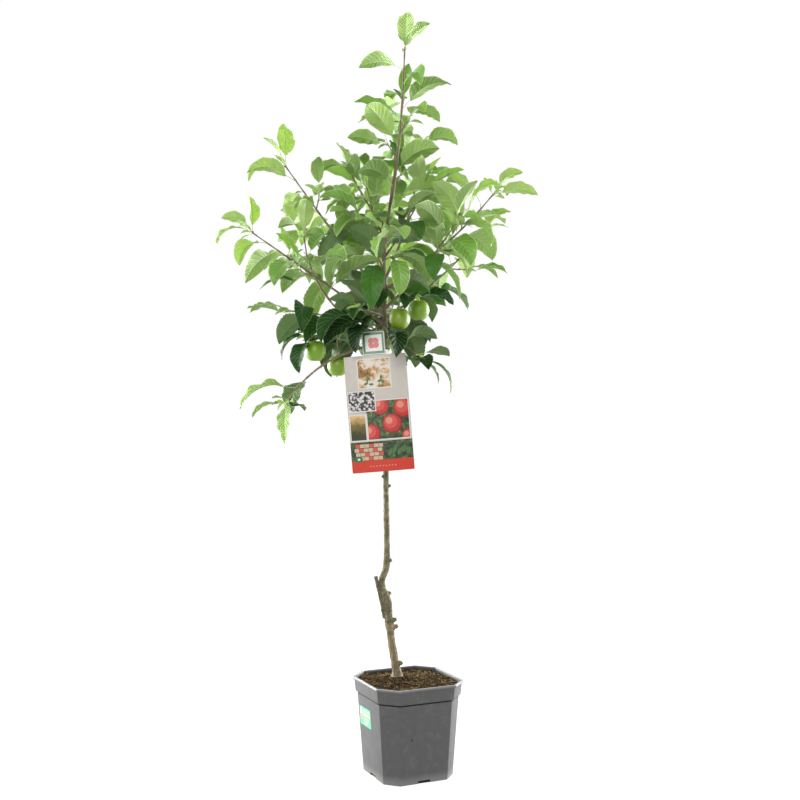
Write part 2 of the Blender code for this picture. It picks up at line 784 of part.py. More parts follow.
def card_point(across, up):
    """A point of the label's middle sheet, from its foot: it leans, and bows out a little."""
    lean = math.radians(CARD_LEAN)
    bow = CARD_BOW * (1 - (2 * across / CARD_WIDTH) ** 2)
    x = across * math.cos(lean) - up * math.sin(lean)
    z = across * math.sin(lean) + up * math.cos(lean)
    back = 0.0 if up < CARD_HEIGHT else (up - CARD_HEIGHT) * 0.12
    return Vector(CARD_FOOT) + Vector((x, -bow + back, z))


def sheet_data(columns, rows):
    """A closed thin sheet over a grid of across and up values."""
    vertices = []
    for shift in (-CARD_THICKNESS / 2, CARD_THICKNESS / 2):
        for up in rows:
            vertices += [card_point(across, up) + Vector((0, shift, 0)) for across in columns]
    wide, layer = len(columns), len(columns) * len(rows)
    faces = []
    for j in range(len(rows) - 1):
        for i in range(wide - 1):
            a = j * wide + i
            faces.append((a, a + 1, a + 1 + wide, a + wide))
            faces.append((layer + a, layer + a + wide, layer + a + 1 + wide, layer + a + 1))
    edge = list(range(wide)) + [j * wide + wide - 1 for j in range(1, len(rows))]
    edge += [layer - 1 - i for i in range(1, wide)] + [j * wide for j in range(len(rows) - 2, 0, -1)]
    for a, b in zip(edge, edge[1:] + edge[:1]):
        faces.append((b, a, a + layer, b + layer))
    return vertices, faces


def even(low, high, count):
    return [blend(low, high, i / (count - 1)) for i in range(count)]


def strap_data():
    """The strap: a flat loop from the label's tab round the back of the trunk."""
    middle, radius = trunk_at(STRAP_LEVEL)
    tab = card_point(0.0, STRAP_LEVEL - CARD_FOOT[2])
    inner, outer = radius * 1.10 + CLEARANCE, radius * 1.10 + CLEARANCE + 0.0010
    front = Vector((tab.x, tab.y + 0.0012, 0.0))
    rings = []
    for reach in (inner, outer):
        ring = []
        for k in range(9):
            turn = math.radians(180 - 180 * k / 8)
            ring.append(Vector((middle.x + reach * math.cos(turn), middle.y + reach * math.sin(turn), 0.0)))
        spread = reach * 0.8
        ring.append(Vector((front.x + spread, front.y + (0.0 if reach == outer else 0.0010), 0.0)))
        ring.append(Vector((front.x - spread, front.y + (0.0 if reach == outer else 0.0010), 0.0)))
        rings.append(ring)
    vertices = []
    for z in (STRAP_LEVEL - STRAP_HEIGHT / 2, STRAP_LEVEL + STRAP_HEIGHT / 2):
        for ring in rings:
            vertices += [Vector((p.x, p.y, z)) for p in ring]
    count = len(rings[0])
    faces = []
    for k in range(count):
        n = (k + 1) % count
        low_in, low_out, high_in, high_out = 0, count, 2 * count, 3 * count
        faces.append((low_out + n, low_out + k, high_out + k, high_out + n))
        faces.append((low_in + k, low_in + n, high_in + n, high_in + k))
        faces.append((low_in + n, low_in + k, low_out + k, low_out + n))
        faces.append((high_in + k, high_in + n, high_out + n, high_out + k))
    return vertices, faces


def label_pieces():
    half, tab = CARD_WIDTH / 2, TAB_WIDTH / 2
    card = sheet_data(even(-half, half, CARD_COLUMNS + 1), even(0.0, CARD_HEIGHT, CARD_ROWS + 1))
    overlap = 0.004
    neck = sheet_data(even(-tab, tab, 5), even(CARD_HEIGHT - overlap, CARD_HEIGHT + TAB_HEIGHT, 4))
    neck = ([v + Vector((0, 0.0003, 0)) for v in neck[0]], neck[1])
    return [card, neck, strap_data()]


def make_label():
    return paint(fuse("label", label_pieces()), (0.62, 0.55, 0.50), 0.35)


def plan_shoots(name, line, tip_leaves=3, sides=0, side_length=0.03, first=0.1, run=8):
    """The stem and spurs of one mass, and the places of their leaves in groups, each drawn from one seed:
    the stem's in runs of a few leaves, then the tip's and each spur's."""
    rng = random.Random(sum(ord(letter) * (i + 1) for i, letter in enumerate(name)))
    stem = part_line(line, 0.0, 1.0, SHOOT_RINGS)
    spurs = side_shoots(rng, stem, sides, side_length)
    places = leaf_places(stem, rng.uniform(0, 360), first, tip_leaves, 1.0)
    on_stem, at_tip = places[:-tip_leaves], places[-tip_leaves:]
    groups = [on_stem[i : i + run] for i in range(0, len(on_stem), run)] + [at_tip]
    for spur in spurs:
        groups.append(leaf_places(spur, rng.uniform(0, 360), 0.6, 2, 0.9))
    return stem, spurs, groups


def limb_of(name):
    return LEADER if name == "leader" else BOUGHS.get(name) or SPURS[name]


def place_leaves(name, groups, crown):
    """The leaves of one mass. A leaf that would touch a limb, an apple or another leaf is drawn again.

    After a few draws its place stays empty."""
    leaves = []
    for seed, places in zip(limb_of(name)["seeds"], groups):
        for k, place in enumerate(places):
            for draw in range(LEAF_DRAWS):
                leaf = leaf_at((seed * 20 + k) * 10 + draw, *place)
                if not leaf_touches(leaf, name, crown):
                    crown.add(name, leaf_data(leaf))
                    leaves.append(leaf)
                    break
    return leaves


def leaf_touches(leaf, owner, crown):
    """True if the blade comes close to anything placed, or the stalk meets what another mass owns."""
    return crown.touches(blade_only(leaf_data(leaf, ENVELOPE))) or crown.touches(leaf_data(leaf), skip=owner)


def make_mass(name, pieces, cutter):
    """One mass of leaves fused into one body, and cut clear of the trunk if it grows from it."""
    mass = fuse("leaves_" + name, pieces)
    if cutter:
        boolean(mass, "DIFFERENCE", cutter, keep_other=True)
        drop_scraps(mass)
    return paint(mass, (0.13, 0.26, 0.06), 0.5)


def plan_stems():
    """Each mass's middle line and foot radius, and whether it grows straight from the trunk."""
    lines = {"leader": (leader_line(), LEADER_RADIUS, False)}
    for name, limb in BOUGHS.items():
        whole = limb_line(limb)
        bare = limb["bare"]
        gap = 2 * CLEARANCE / limb["length"]
        lines[name] = (part_line(whole, bare + gap, 1.0, 12), BOUGH_TIP_RADIUS, False)
    for name, limb in SPURS.items():
        lines[name] = (limb_line(limb), SPUR_RADIUS, True)
    return lines


MASS_SHAPES = {
    "leader": dict(tip_leaves=3, sides=4, side_length=0.030, run=3),
    "fruit_front": dict(tip_leaves=2),
    "fruit_left": dict(tip_leaves=2),
    "fruit_back": dict(tip_leaves=2),
    "inner_right": dict(tip_leaves=3),
    "inner_front": dict(tip_leaves=3, sides=1),
    "inner_back": dict(tip_leaves=3, sides=1),
    "thin_left": dict(tip_leaves=2, first=0.75),
    "low": dict(tip_leaves=3, first=0.2),
}
PLAIN_MASS = dict(tip_leaves=3, sides=1, side_length=0.028)


def start_crown(boughs, shoots, fruit):
    """A crown that holds the limbs, the label and the apples, before any leaf."""
    crown = Crown()
    crown.add("trunk", trunk_tube())
    for piece in label_pieces():
        crown.add("label", piece)
    for bough in boughs:
        mesh = bough.data
        faces = [tuple(p.vertices) for p in mesh.polygons]
        crown.add(bough.name, ([v.co.copy() for v in mesh.vertices], faces))
    for name, tubes in shoots.items():
        for piece in tubes + fruit[name]:
            crown.add(name, piece)
    return crown


def shoot_tubes(stem, spurs, radius):
    """The tubes of a mass's stem and spurs."""
    return [shoot_tube(stem, radius)] + [shoot_tube(spur, SHOOT_TIP_RADIUS * 1.4) for spur in spurs]


def main():
    for obj in list(bpy.data.objects):
        bpy.data.objects.remove(obj)
    planting = bpy.data.objects.new("planting", None)
    bpy.context.scene.collection.objects.link(planting)
    planting.rotation_euler.z = math.radians(PLANTING_TURN)

    make_pot()
    make_soil()

    cutter = triangulate(new_object("trunk_cutter", *trunk_tube(CLEARANCE * 1.3)))
    boughs = [make_bough(name, limb, cutter) for name, limb in BOUGHS.items()]
    tree = [make_trunk(), make_label(), *boughs]
    lines = plan_stems()
    plans = {}
    for name, (line, _, _) in lines.items():
        plans[name] = plan_shoots(name, line, **MASS_SHAPES.get(name, PLAIN_MASS))
    shoots = {name: shoot_tubes(*plans[name][:2], radius) for name, (_, radius, _) in lines.items()}
    fruit = {name: hang_apples(name, line) for name, (line, _, _) in lines.items()}
    crown = start_crown(boughs, shoots, fruit)
    total = 0
    for name, (_, _, from_trunk) in lines.items():
        leaves = place_leaves(name, plans[name][2], crown)
        pieces = shoots[name] + fruit[name] + [leaf_data(leaf) for leaf in leaves]
        tree.append(make_mass(name, pieces, cutter if from_trunk else None))
        total += len(leaves)
    bpy.data.objects.remove(cutter)
    for piece in tree:
        piece.parent = planting
    print(len(tree), "tree pieces with", total, "leaves")


main()
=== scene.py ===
# %% [markdown]
# # A dwarf apple tree in its nursery pot
#
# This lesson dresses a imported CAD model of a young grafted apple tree. The CAD model gives the sizes
# and the places of everything. Each piece below is built in code around it, in metres, and stands in
# for the plain solid of the same part.

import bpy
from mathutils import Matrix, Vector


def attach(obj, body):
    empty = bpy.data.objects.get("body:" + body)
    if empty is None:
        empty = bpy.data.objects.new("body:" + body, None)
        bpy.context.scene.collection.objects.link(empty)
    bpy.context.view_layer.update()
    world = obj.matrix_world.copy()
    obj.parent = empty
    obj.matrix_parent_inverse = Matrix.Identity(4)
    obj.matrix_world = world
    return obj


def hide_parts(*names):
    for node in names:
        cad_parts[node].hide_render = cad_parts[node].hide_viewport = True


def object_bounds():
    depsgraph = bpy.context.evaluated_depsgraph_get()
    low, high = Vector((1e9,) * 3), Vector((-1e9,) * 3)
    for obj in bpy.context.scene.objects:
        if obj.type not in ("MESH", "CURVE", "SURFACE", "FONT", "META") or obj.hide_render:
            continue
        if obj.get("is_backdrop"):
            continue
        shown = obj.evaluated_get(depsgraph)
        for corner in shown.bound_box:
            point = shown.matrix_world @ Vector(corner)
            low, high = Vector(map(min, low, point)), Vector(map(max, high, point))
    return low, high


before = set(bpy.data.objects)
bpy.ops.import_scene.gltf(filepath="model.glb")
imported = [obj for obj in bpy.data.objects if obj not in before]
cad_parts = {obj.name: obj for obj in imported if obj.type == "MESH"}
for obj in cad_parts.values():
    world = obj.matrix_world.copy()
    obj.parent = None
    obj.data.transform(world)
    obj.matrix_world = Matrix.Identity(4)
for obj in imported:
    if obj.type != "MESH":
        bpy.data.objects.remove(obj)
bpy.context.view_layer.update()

# %% [markdown]
# The tree was laid out in a frame of its own, seen from its best side: +X to the right and +Y away from
# the viewer. It was then planted in the pot with a turn of about 24 degrees. The same turn takes every
# point of the tree from its own frame to the frame of the row, so one small function does it all.

# %% The planting turn, and small helpers for directions
import math
import random

import bmesh
import bpy
import numpy as np
from mathutils import Matrix, Vector, noise
from mathutils.kdtree import KDTree

PLANTING_TURN = -24.4
TO_ROW = Matrix.Rotation(math.radians(PLANTING_TURN), 3, "Z")
TO_ROW_ROWS = np.array(TO_ROW)


def direction(heading, climb):
    """The unit vector with this compass heading and this angle above the level."""
    h, c = math.radians(heading), math.radians(climb)
    return Vector((math.cos(h) * math.cos(c), math.sin(h) * math.cos(c), math.sin(c)))


def blend(a, b, share):
    return a + (b - a) * share


def heading_of(way):
    return math.degrees(math.atan2(way.y, way.x))


def climb_of(way):
    return math.degrees(math.asin(max(-1.0, min(1.0, way.z))))


print("planting turn", PLANTING_TURN, "degrees")

# %% [markdown]
# The photograph was taken from about 2.2 m away, a little below the middle of the tree, with a normal
# lens. A camera is placed by a matrix: turn it with the planting, move it back, tip it up from looking
# at the floor until it looks level, and then by the last fraction of a degree.

# %% The camera
CAMERA_PLACE = Vector((-0.0157, -2.244, 0.723))
CAMERA_TIP = 0.75
LENS_MM = 49.7

camera_data = bpy.data.cameras.new("camera")
camera_data.lens = LENS_MM
camera_data.sensor_width = 36.0
camera = bpy.data.objects.new("camera", camera_data)
bpy.context.scene.collection.objects.link(camera)
camera.matrix_world = (
    TO_ROW.to_4x4()
    @ Matrix.Translation(CAMERA_PLACE)
    @ Matrix.Rotation(math.radians(90 + CAMERA_TIP), 4, "X")
)
bpy.context.scene.camera = camera
print("camera at", [round(v, 3) for v in camera.matrix_world.translation])

# %% [markdown]
# Shader maths reads best as plain expressions. The class below wraps one output socket. Adding,
# subtracting or multiplying two of them adds the Math node that does so and hands back its output.
# Everything else, from a noise to a colour ramp, comes from the one method `node`, which sets the
# node's own settings first and then fills or links its sockets.

# %% A socket that can be used in sums
class Flow:
    """One output socket of a node tree."""

    def __init__(self, tree, socket):
        self.tree, self.socket = tree, socket

    def node(self, kind, settings=None, inputs=None, output=0):
        """Adds a node of this type. Settings are its own properties, or stops for a colour ramp."""
        made = self.tree.nodes.new("ShaderNode" + kind)
        for key, value in (settings or {}).items():
            if key == "stops":
                ramp = made.color_ramp.elements
                while len(ramp) < len(value):
                    ramp.new(1.0)
                for element, (place, colour) in zip(ramp, value):
                    element.position, element.color = place, (*colour, 1.0)
            else:
                setattr(made, key, value)
        for key, value in (inputs or {}).items():
            if isinstance(value, Flow):
                self.tree.links.new(value.socket, made.inputs[key])
            else:
                made.inputs[key].default_value = value
        return Flow(self.tree, made.outputs[output])

    def math(self, operation, *values):
        return self.node("Math", {"operation": operation}, dict(enumerate(values)))

    def __add__(self, other):
        return self.math("ADD", self, other)

    def __sub__(self, other):
        return self.math("SUBTRACT", self, other)

    def __rsub__(self, other):
        return self.math("SUBTRACT", other, self)

    def __mul__(self, other):
        return self.math("MULTIPLY", self, other)

    def __truediv__(self, other):
        return self.math("DIVIDE", self, other)

    __radd__, __rmul__ = __add__, __mul__

    def above(self, edge, softness):
        """0 below the edge and 1 above it, with a soft step between."""
        ends = {1: edge - softness, 2: edge + softness}
        return self.node("MapRange", {"interpolation_type": "SMOOTHSTEP"}, {0: self, **ends})

    def mix(self, low, high):
        """The colour low where this is 0 and high where it is 1."""
        return self.node("Mix", {"data_type": "RGBA"}, {0: self, 6: low, 7: high}, output=2)

    def stretch(self, across, along):
        """This position, scaled level and upright, for patterns that run with the grain."""
        scale = (across, across, along)
        return self.node("VectorMath", {"operation": "MULTIPLY"}, {0: self, 1: scale})

    def noise(self, scale, detail=3.0, roughness=0.5):
        sizes = {"Vector": self, "Scale": scale, "Detail": detail, "Roughness": roughness}
        return self.node("TexNoise", None, sizes)

    def cells(self, scale, feature="F1", output="Distance"):
        made = self.node("TexVoronoi", {"feature": feature}, {"Vector": self, "Scale": scale})
        return Flow(self.tree, made.socket.node.outputs[output])


def rgb(red, green, blue):
    """A colour that a node's socket takes, from linear red, green and blue."""
    return (red, green, blue, 1.0)


def uneven(low, high, scale=260.0):
    """A colour that wanders between two shades."""
    return lambda place: place.noise(scale).mix(rgb(*low), rgb(*high))


def finish(name, colour, roughness, relief=None, relief_depth=0.0002, glow=None, **constants):
    """A material. colour, roughness and relief are values, or functions of the position.

    glow is the share and colour of the light that passes through, for a leaf."""
    material = bpy.data.materials.new(name)
    material.use_nodes = True
    tree = material.node_tree
    shader = tree.nodes["Principled BSDF"]
    place = Flow(tree, tree.nodes.new("ShaderNodeTexCoord").outputs["Object"])
    for key, value in {"Base Color": colour, "Roughness": roughness, **constants}.items():
        value = value(place) if callable(value) else value
        if isinstance(value, Flow):
            tree.links.new(value.socket, shader.inputs[key])
        else:
            shader.inputs[key].default_value = value
    if relief:
        bump = place.node("Bump", None, {"Distance": relief_depth, "Height": relief(place)})
        tree.links.new(bump.socket, shader.inputs["Normal"])
    if glow:
        share, tint = glow
        through = place.node("BsdfTranslucent", None, {"Color": tint})
        both = place.node("MixShader", None, {0: share, 1: Flow(tree, shader.outputs[0]), 2: through})
        tree.links.new(both.socket, tree.nodes["Material Output"].inputs["Surface"])
    return material


print("shader helpers ready")

# %% [markdown]
# Most of this tree is many small shapes of a few kinds: leaves, twigs, chips of bark. Blender handles
# one mesh with a hundred thousand faces far better than a thousand objects, so each kind is heaped in a
# pile of points and faces first, and the pile becomes one mesh. A face remembers its material's place
# in the list, which lets one mesh hold leaves in several greens.

# %% A pile of shapes that becomes one mesh
class Pile:
    """Points and faces of many shapes. Each face has the number of its finish."""

    def __init__(self):
        self.points, self.faces, self.finishes, self.count = [], [], [], 0

    def add(self, points, faces, finish_number=0):
        """Adds one shape. finish_number is one number, or one for each face."""
        self.points.append(np.array(points, float).reshape(-1, 3))
        self.faces += [tuple(int(v) + self.count for v in face) for face in faces]
        self.count += len(points)
        same = np.isscalar(finish_number)
        self.finishes += [finish_number] * len(faces) if same else list(finish_number)

    def make(self, name, finishes, planted=True, smooth=True):
        """The mesh object. planted turns it from the tree's frame to that of the row."""
        points = np.concatenate(self.points)
        if planted:
            points = points @ TO_ROW_ROWS.T
        mesh = bpy.data.meshes.new(name)
        mesh.from_pydata(points.tolist(), [], self.faces)
        for material in finishes:
            mesh.materials.append(material)
        mesh.polygons.foreach_set("material_index", np.array(self.finishes, np.int32))
        mesh.polygons.foreach_set("use_smooth", np.full(len(self.faces), smooth))
        mesh.update()
        made = bpy.data.objects.new(name, mesh)
        bpy.context.scene.collection.objects.link(made)
        triangles = sum(len(face) - 2 for face in self.faces)
        print(f"{name}: {triangles} triangles")
        return made


def dress(piece, material_slot, *nodes):
    """The piece rides on the part's one body and stands for these CAD nodes."""
    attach(piece, "root")
    if nodes:
        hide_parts(*nodes)
    return piece


def evaluated(obj):
    """Puts the shape that the modifiers give in the object's own mesh."""
    shaped = bpy.data.meshes.new_from_object(obj.evaluated_get(bpy.context.evaluated_depsgraph_get()))
    obj.modifiers.clear()
    obj.data = shaped
    return obj


print("piles ready")

# %% [markdown]
# The pot is thin black plastic pressed in a mould: a square with cut-off corners that widens upwards, a
# collar below the rim and a lip that is rolled outwards. A stack of eight-sided rings makes it. Real
# moulded corners are never sharp, so each corner of each ring is replaced by a short arc, and more
# rings round off the lip and the foot.

# %% Rings with rounded corners, stacked into the pot's shell
POT_HEIGHT, POT_WALL, POT_FLOOR = 0.190, 0.0018, 0.0030
BASE_ACROSS, BASE_CUT = 0.152, 0.025
BODY_ACROSS, BODY_CUT = 0.1750, 0.0315
BAND_ACROSS, BAND_CUT = 0.1816, 0.0330
BAND_TOP_ACROSS, BAND_TOP_CUT = 0.1860, 0.0338
LIP_ACROSS, LIP_CUT = 0.1920, 0.0349
BAND_BOTTOM, LIP_BOTTOM = 0.1600, 0.1845
DRAIN_WIDTH, DRAIN_HEIGHT, DRAIN_DEPTH = 0.026, 0.0060, 0.0028
GROOVE = 0.0034
CORNER_RADIUS = 0.0028
CORNER_STEPS = 3


def rounded_octagon(across, cut, z, inset=0.0, radius=CORNER_RADIUS):
    """A square with cut-off corners as a ring of points, each of its eight corners a small arc."""
    half = across / 2 - inset
    side = half - cut + inset * (2 - math.sqrt(2))
    corners = [(-half, side), (-half, -side), (-side, -half), (side, -half)]
    corners += [(half, -side), (half, side), (side, half), (-side, half)]
    corners = [Vector((x, y, z)) for x, y in corners]
    ring = []
    for k, corner in enumerate(corners):
        back = (corners[k - 1] - corner).normalized()
        ahead = (corners[(k + 1) % 8] - corner).normalized()
        reach = radius * math.tan(math.radians(22.5))
        for i in range(CORNER_STEPS + 1):
            t = i / CORNER_STEPS
            bend = corner + back * reach * (1 - t) ** 2 + ahead * reach * t**2
            ring.append(bend)
    return ring


def stack(rings):
    """Points and faces of a closed body that passes through rings of equal length, in order."""
    count = len(rings[0])
    points = [corner for ring in rings for corner in ring]
    faces = []
    for i in range(len(rings) - 1):
        for k in range(count):
            a, b = i * count + k, i * count + (k + 1) % count
            faces.append((a, b, b + count, a + count))
    last = (len(rings) - 1) * count
    faces.append(tuple(reversed(range(count))))
    faces.append(tuple(range(last, last + count)))
    return points, faces


def body_across(z):
    """Distance across the flats and corner cut of the pot's tapering body at height z."""
    share = z / BAND_BOTTOM
    return blend(BASE_ACROSS, BODY_ACROSS, share), blend(BASE_CUT, BODY_CUT, share)


def pot_rings():
    """Out and up the outside, over the lip, and down the inside to the floor."""
    foot, edge, wall = 0.0016, 0.0007, POT_WALL
    rings = [rounded_octagon(BASE_ACROSS, BASE_CUT, 0.0, foot)]
    for turn in (30, 60, 90):
        t = math.radians(turn)
        rings.append(rounded_octagon(*body_across(foot), foot * (1 - math.cos(t)), foot * (1 - math.sin(t))))
    groove_foot = BAND_BOTTOM - GROOVE
    rings.append(rounded_octagon(*body_across(groove_foot), groove_foot))
    rings.append(rounded_octagon(*body_across(groove_foot), groove_foot + 0.0003, 0.0005))
    rings.append(rounded_octagon(BODY_ACROSS, BODY_CUT, BAND_BOTTOM, 0.0005))
    rings.append(rounded_octagon(BAND_ACROSS, BAND_CUT, BAND_BOTTOM + 0.0002, edge))
    rings.append(rounded_octagon(BAND_ACROSS, BAND_CUT, BAND_BOTTOM + 0.0010))
    rings.append(rounded_octagon(BAND_TOP_ACROSS, BAND_TOP_CUT, LIP_BOTTOM - 0.0006))
    rings.append(rounded_octagon(BAND_TOP_ACROSS, BAND_TOP_CUT, LIP_BOTTOM, -0.0006))
    rings.append(rounded_octagon(LIP_ACROSS, LIP_CUT, LIP_BOTTOM + 0.0002, edge))
    rings.append(rounded_octagon(LIP_ACROSS, LIP_CUT, LIP_BOTTOM + 0.0011))
    rings.append(rounded_octagon(LIP_ACROSS, LIP_CUT, POT_HEIGHT - 0.0014))
    rings.append(rounded_octagon(LIP_ACROSS, LIP_CUT, POT_HEIGHT - 0.0004, 0.0005))
    rings.append(rounded_octagon(LIP_ACROSS, LIP_CUT, POT_HEIGHT, 0.0014))
    rings.append(rounded_octagon(BAND_TOP_ACROSS, BAND_TOP_CUT, POT_HEIGHT, wall - 0.0008))
    rings.append(rounded_octagon(BAND_TOP_ACROSS, BAND_TOP_CUT, POT_HEIGHT - 0.0010, wall))
    rings.append(rounded_octagon(BAND_ACROSS, BAND_CUT, BAND_BOTTOM + wall, wall))
    rings.append(rounded_octagon(BODY_ACROSS, BODY_CUT, BAND_BOTTOM, wall))
    rings.append(rounded_octagon(*body_across(POT_FLOOR), POT_FLOOR, wall))
    return rings


print(len(pot_rings()), "rings")

# %% [markdown]
# Water leaves through a low notch under each long face. A Boolean modifier cuts the four notches with
# small boxes, only as deep as it takes to look like the way into a dark hollow. The faces in a notch
# and in the groove under the collar get a black finish, since light that comes from all sides would
# fill them. The mould has also left four small nicks in the lip, which more boxes cut.

# %% The pot
NICK_PLACES = ((-1, 0.052), (-1, -0.016), (1, 0.030), (1, -0.047))


def box_at(name, turn, middle, size):
    """A box of this size round its middle, turned about the origin."""
    corners = []
    for z in (-0.5, 0.5):
        for x, y in ((-0.5, -0.5), (0.5, -0.5), (0.5, 0.5), (-0.5, 0.5)):
            corners.append(turn @ (middle + Vector((x * size[0], y * size[1], z * size[2]))))
    pile = Pile()
    pile.add(*stack([corners[:4], corners[4:]]))
    return pile.make(name, [], planted=False, smooth=False)


def cut_with(obj, cutter):
    """Takes the cutter's shape out of the object."""
    cut = obj.modifiers.new("cut", "BOOLEAN")
    cut.operation, cut.solver, cut.object = "DIFFERENCE", "EXACT", cutter
    evaluated(obj)
    bpy.data.objects.remove(cutter)


def shade_by_angle(obj, degrees):
    """Smooth where faces meet at less than this angle, and crisp elsewhere."""
    work = bmesh.new()
    work.from_mesh(obj.data)
    for face in work.faces:
        face.smooth = True
    for edge in work.edges:
        edge.smooth = len(edge.link_faces) == 2 and edge.calc_face_angle() < math.radians(degrees)
    work.to_mesh(obj.data)
    work.free()


pot_pile = Pile()
pot_pile.add(*stack(pot_rings()))
pot_shell = pot_pile.make("pot_shell", [], planted=False)
for quarter in range(4):
    turn = Matrix.Rotation(quarter * math.pi / 2, 3, "Z")
    reach = BASE_ACROSS / 2 + 0.004
    middle = Vector((0.0, -reach + (DRAIN_DEPTH + 0.004) / 2, DRAIN_HEIGHT / 2 - 0.001))
    size = (DRAIN_WIDTH, DRAIN_DEPTH + 0.004, DRAIN_HEIGHT + 0.002)
    cut_with(pot_shell, box_at("drain", turn, middle, size))
for side, along in NICK_PLACES:
    middle = Vector((along, side * LIP_ACROSS / 2, POT_HEIGHT))
    cut_with(pot_shell, box_at("nick", Matrix.Identity(3), middle, (0.0012, 0.0022, 0.0024)))
shade_by_angle(pot_shell, 32)
IN_SHADE = 1
for face in pot_shell.data.polygons:
    in_groove = BAND_BOTTOM - GROOVE < face.center.z < BAND_BOTTOM + 0.0002
    if in_groove and face.center.xy.length > BODY_ACROSS / 2 - 0.001:
        face.material_index = IN_SHADE
    for quarter in range(4):
        spot = Matrix.Rotation(-quarter * math.pi / 2, 3, "Z") @ face.center
        depth = spot.y + BASE_ACROSS / 2
        low_enough = abs(spot.x) < DRAIN_WIDTH / 2 + 0.0001 and spot.z < DRAIN_HEIGHT + 0.0001
        if low_enough and 0.0004 < depth < DRAIN_DEPTH + 0.0001:
            face.material_index = IN_SHADE
dress(pot_shell, "pot", "pot")
print("pot has", len(pot_shell.data.polygons), "faces")

# %% [markdown]
# Recycled black plastic looks dark grey, not black. It has a satin sheen, a faint flow pattern that runs
# upwards, dust, and a few fine vertical scratches. It is paler along the lip and at the foot: partly
# worn by rubbing, and partly a painted highlight on the lip and a painted reflection of the floor at
# the foot.

# %% The pot's finish
def pot_colour(place):
    streaks = place.stretch(90, 6).noise(1.0, 4.0)
    dust = place.noise(60.0, 5.0, 0.65).above(0.60, 0.12)
    height = place.node("SeparateXYZ", None, {0: place}, output=2)
    # Paler lip and foot: wear, with a painted highlight on the lip and a painted floor reflection at the
    # foot.
    wear_and_painted_highlight = height.above(0.187, 0.003) * 0.55 + (1 - height.above(0.012, 0.010)) * 0.35
    plain = streaks.mix(rgb(0.019, 0.021, 0.019), rgb(0.029, 0.031, 0.029))
    dusty = (dust * 0.12).mix(plain, rgb(0.20, 0.195, 0.17))
    return wear_and_painted_highlight.mix(dusty, rgb(0.25, 0.26, 0.245))


def pot_roughness(place):
    return place.stretch(160, 14).noise(1.0, 3.0) * 0.16 + 0.30


def pot_relief(place):
    scratches = place.stretch(420, 16).noise(1.0, 2.0).above(0.63, 0.03)
    return place.stretch(60, 22).noise(1.0, 3.0) + scratches * -0.4


pot_shell.data.materials.append(
    finish("pot plastic", pot_colour, pot_roughness, pot_relief, 0.00022, **{"Specular IOR Level": 0.8})
)
pot_shell.data.materials.append(finish("deep shade", rgb(0.004, 0.004, 0.004), 0.9))
print("pot finished")

# %% [markdown]
# A small sticker is glued to the pot's left wall. Here it is plain stripes and blocks in green, lime and
# rust. The wall leans, so a helper gives the point of the wall at a distance along it and a height, and
# each patch of colour is a thin grid laid on the wall a hair further out than the one under it.

# %% The sticker, laid on the leaning wall
STICKER_LOW, STICKER_HIGH = 0.0960, 0.1335
STICKER_NEAR, STICKER_FAR = -0.0065, 0.0485
INK_STEP = 0.00010


def grid_patch(point_at, left, right, low, high, columns=6, rows=4):
    """A grid of points over a rectangle of a surface, with faces that look outwards."""
    points = [
        point_at(blend(left, right, i / columns), blend(low, high, j / rows))
        for j in range(rows + 1)
        for i in range(columns + 1)
    ]
    wide = columns + 1
    faces = [
        (j * wide + i, j * wide + i + 1, (j + 1) * wide + i + 1, (j + 1) * wide + i)
        for j in range(rows)
        for i in range(columns)
    ]
    return points, faces


def wall_point(layer):
    """Points of the pot's -X wall, held off it by a number of ink layers."""

    def point_at(along, height):
        across, _ = body_across(height)
        return Vector((-across / 2 - 0.00012 - INK_STEP * layer, -along, height))

    return point_at


STICKER_GREEN, STICKER_LIME, STICKER_PALE, STICKER_RUST = 0, 1, 2, 3
sticker_pile = Pile()


def sticker_block(layer, ink, left, right, low, high):
    """A block of the sticker, in shares of its width and height."""
    sides = [blend(-STICKER_FAR, -STICKER_NEAR, share) for share in (left, right)]
    ends = [blend(STICKER_LOW, STICKER_HIGH, share) for share in (low, high)]
    sticker_pile.add(*grid_patch(wall_point(layer), *sides, *ends), ink)


sticker_block(0, STICKER_GREEN, 0, 1, 0, 1)
sticker_block(1, STICKER_LIME, 0.34, 0.94, 0.52, 0.72)
sticker_block(1, STICKER_PALE, 0.06, 0.24, 0.58, 0.92)
sticker_block(1, STICKER_RUST, 0.06, 0.24, 0.30, 0.50)
for stripe in range(3):
    sticker_block(1, STICKER_LIME, 0.34, 0.86 - 0.08 * stripe, 0.36 - 0.13 * stripe, 0.42 - 0.13 * stripe)
sticker_block(1, STICKER_PALE, 0.34, 0.94, 0.80, 0.86)


def ink(name, low, high, roughness=0.32):
    """A printed colour with the faint unevenness of ink on a plastic film."""
    return finish(name, lambda place: place.noise(260.0, 2.0).mix(low, high), roughness)


sticker = sticker_pile.make(
    "pot_sticker",
    [
        ink("sticker green", rgb(0.07, 0.38, 0.21), rgb(0.10, 0.45, 0.26)),
        ink("sticker lime", rgb(0.42, 0.62, 0.24), rgb(0.48, 0.68, 0.29)),
        ink("sticker pale", rgb(0.55, 0.67, 0.52), rgb(0.62, 0.73, 0.59)),
        ink("sticker rust", rgb(0.55, 0.20, 0.10), rgb(0.62, 0.25, 0.13)),
    ],
    planted=False,
)
dress(sticker, "pot")

# %% [markdown]
# The front wall has one mark of the mould: a round pad, barely raised, with a dark dot in its middle.
# Both are rings of points at their own lifts off the wall, so one function makes the two.

# %% The moulded dot on the front wall
DOT_PLACE = (-0.0290, 0.0890)
DOT_RADIUS = 0.0024
DOT_RELIEF = ((DOT_RADIUS, -0.0001), (DOT_RADIUS * 0.93, 0.0004), (DOT_RADIUS * 0.6, 0.0005))
PAD_RELIEF = ((DOT_RADIUS * 3.3, -0.0001), (DOT_RADIUS * 3.2, 0.00012), (DOT_RADIUS * 2.9, 0.00012))
PAD_PLASTIC, DOT_PLASTIC = 0, 1


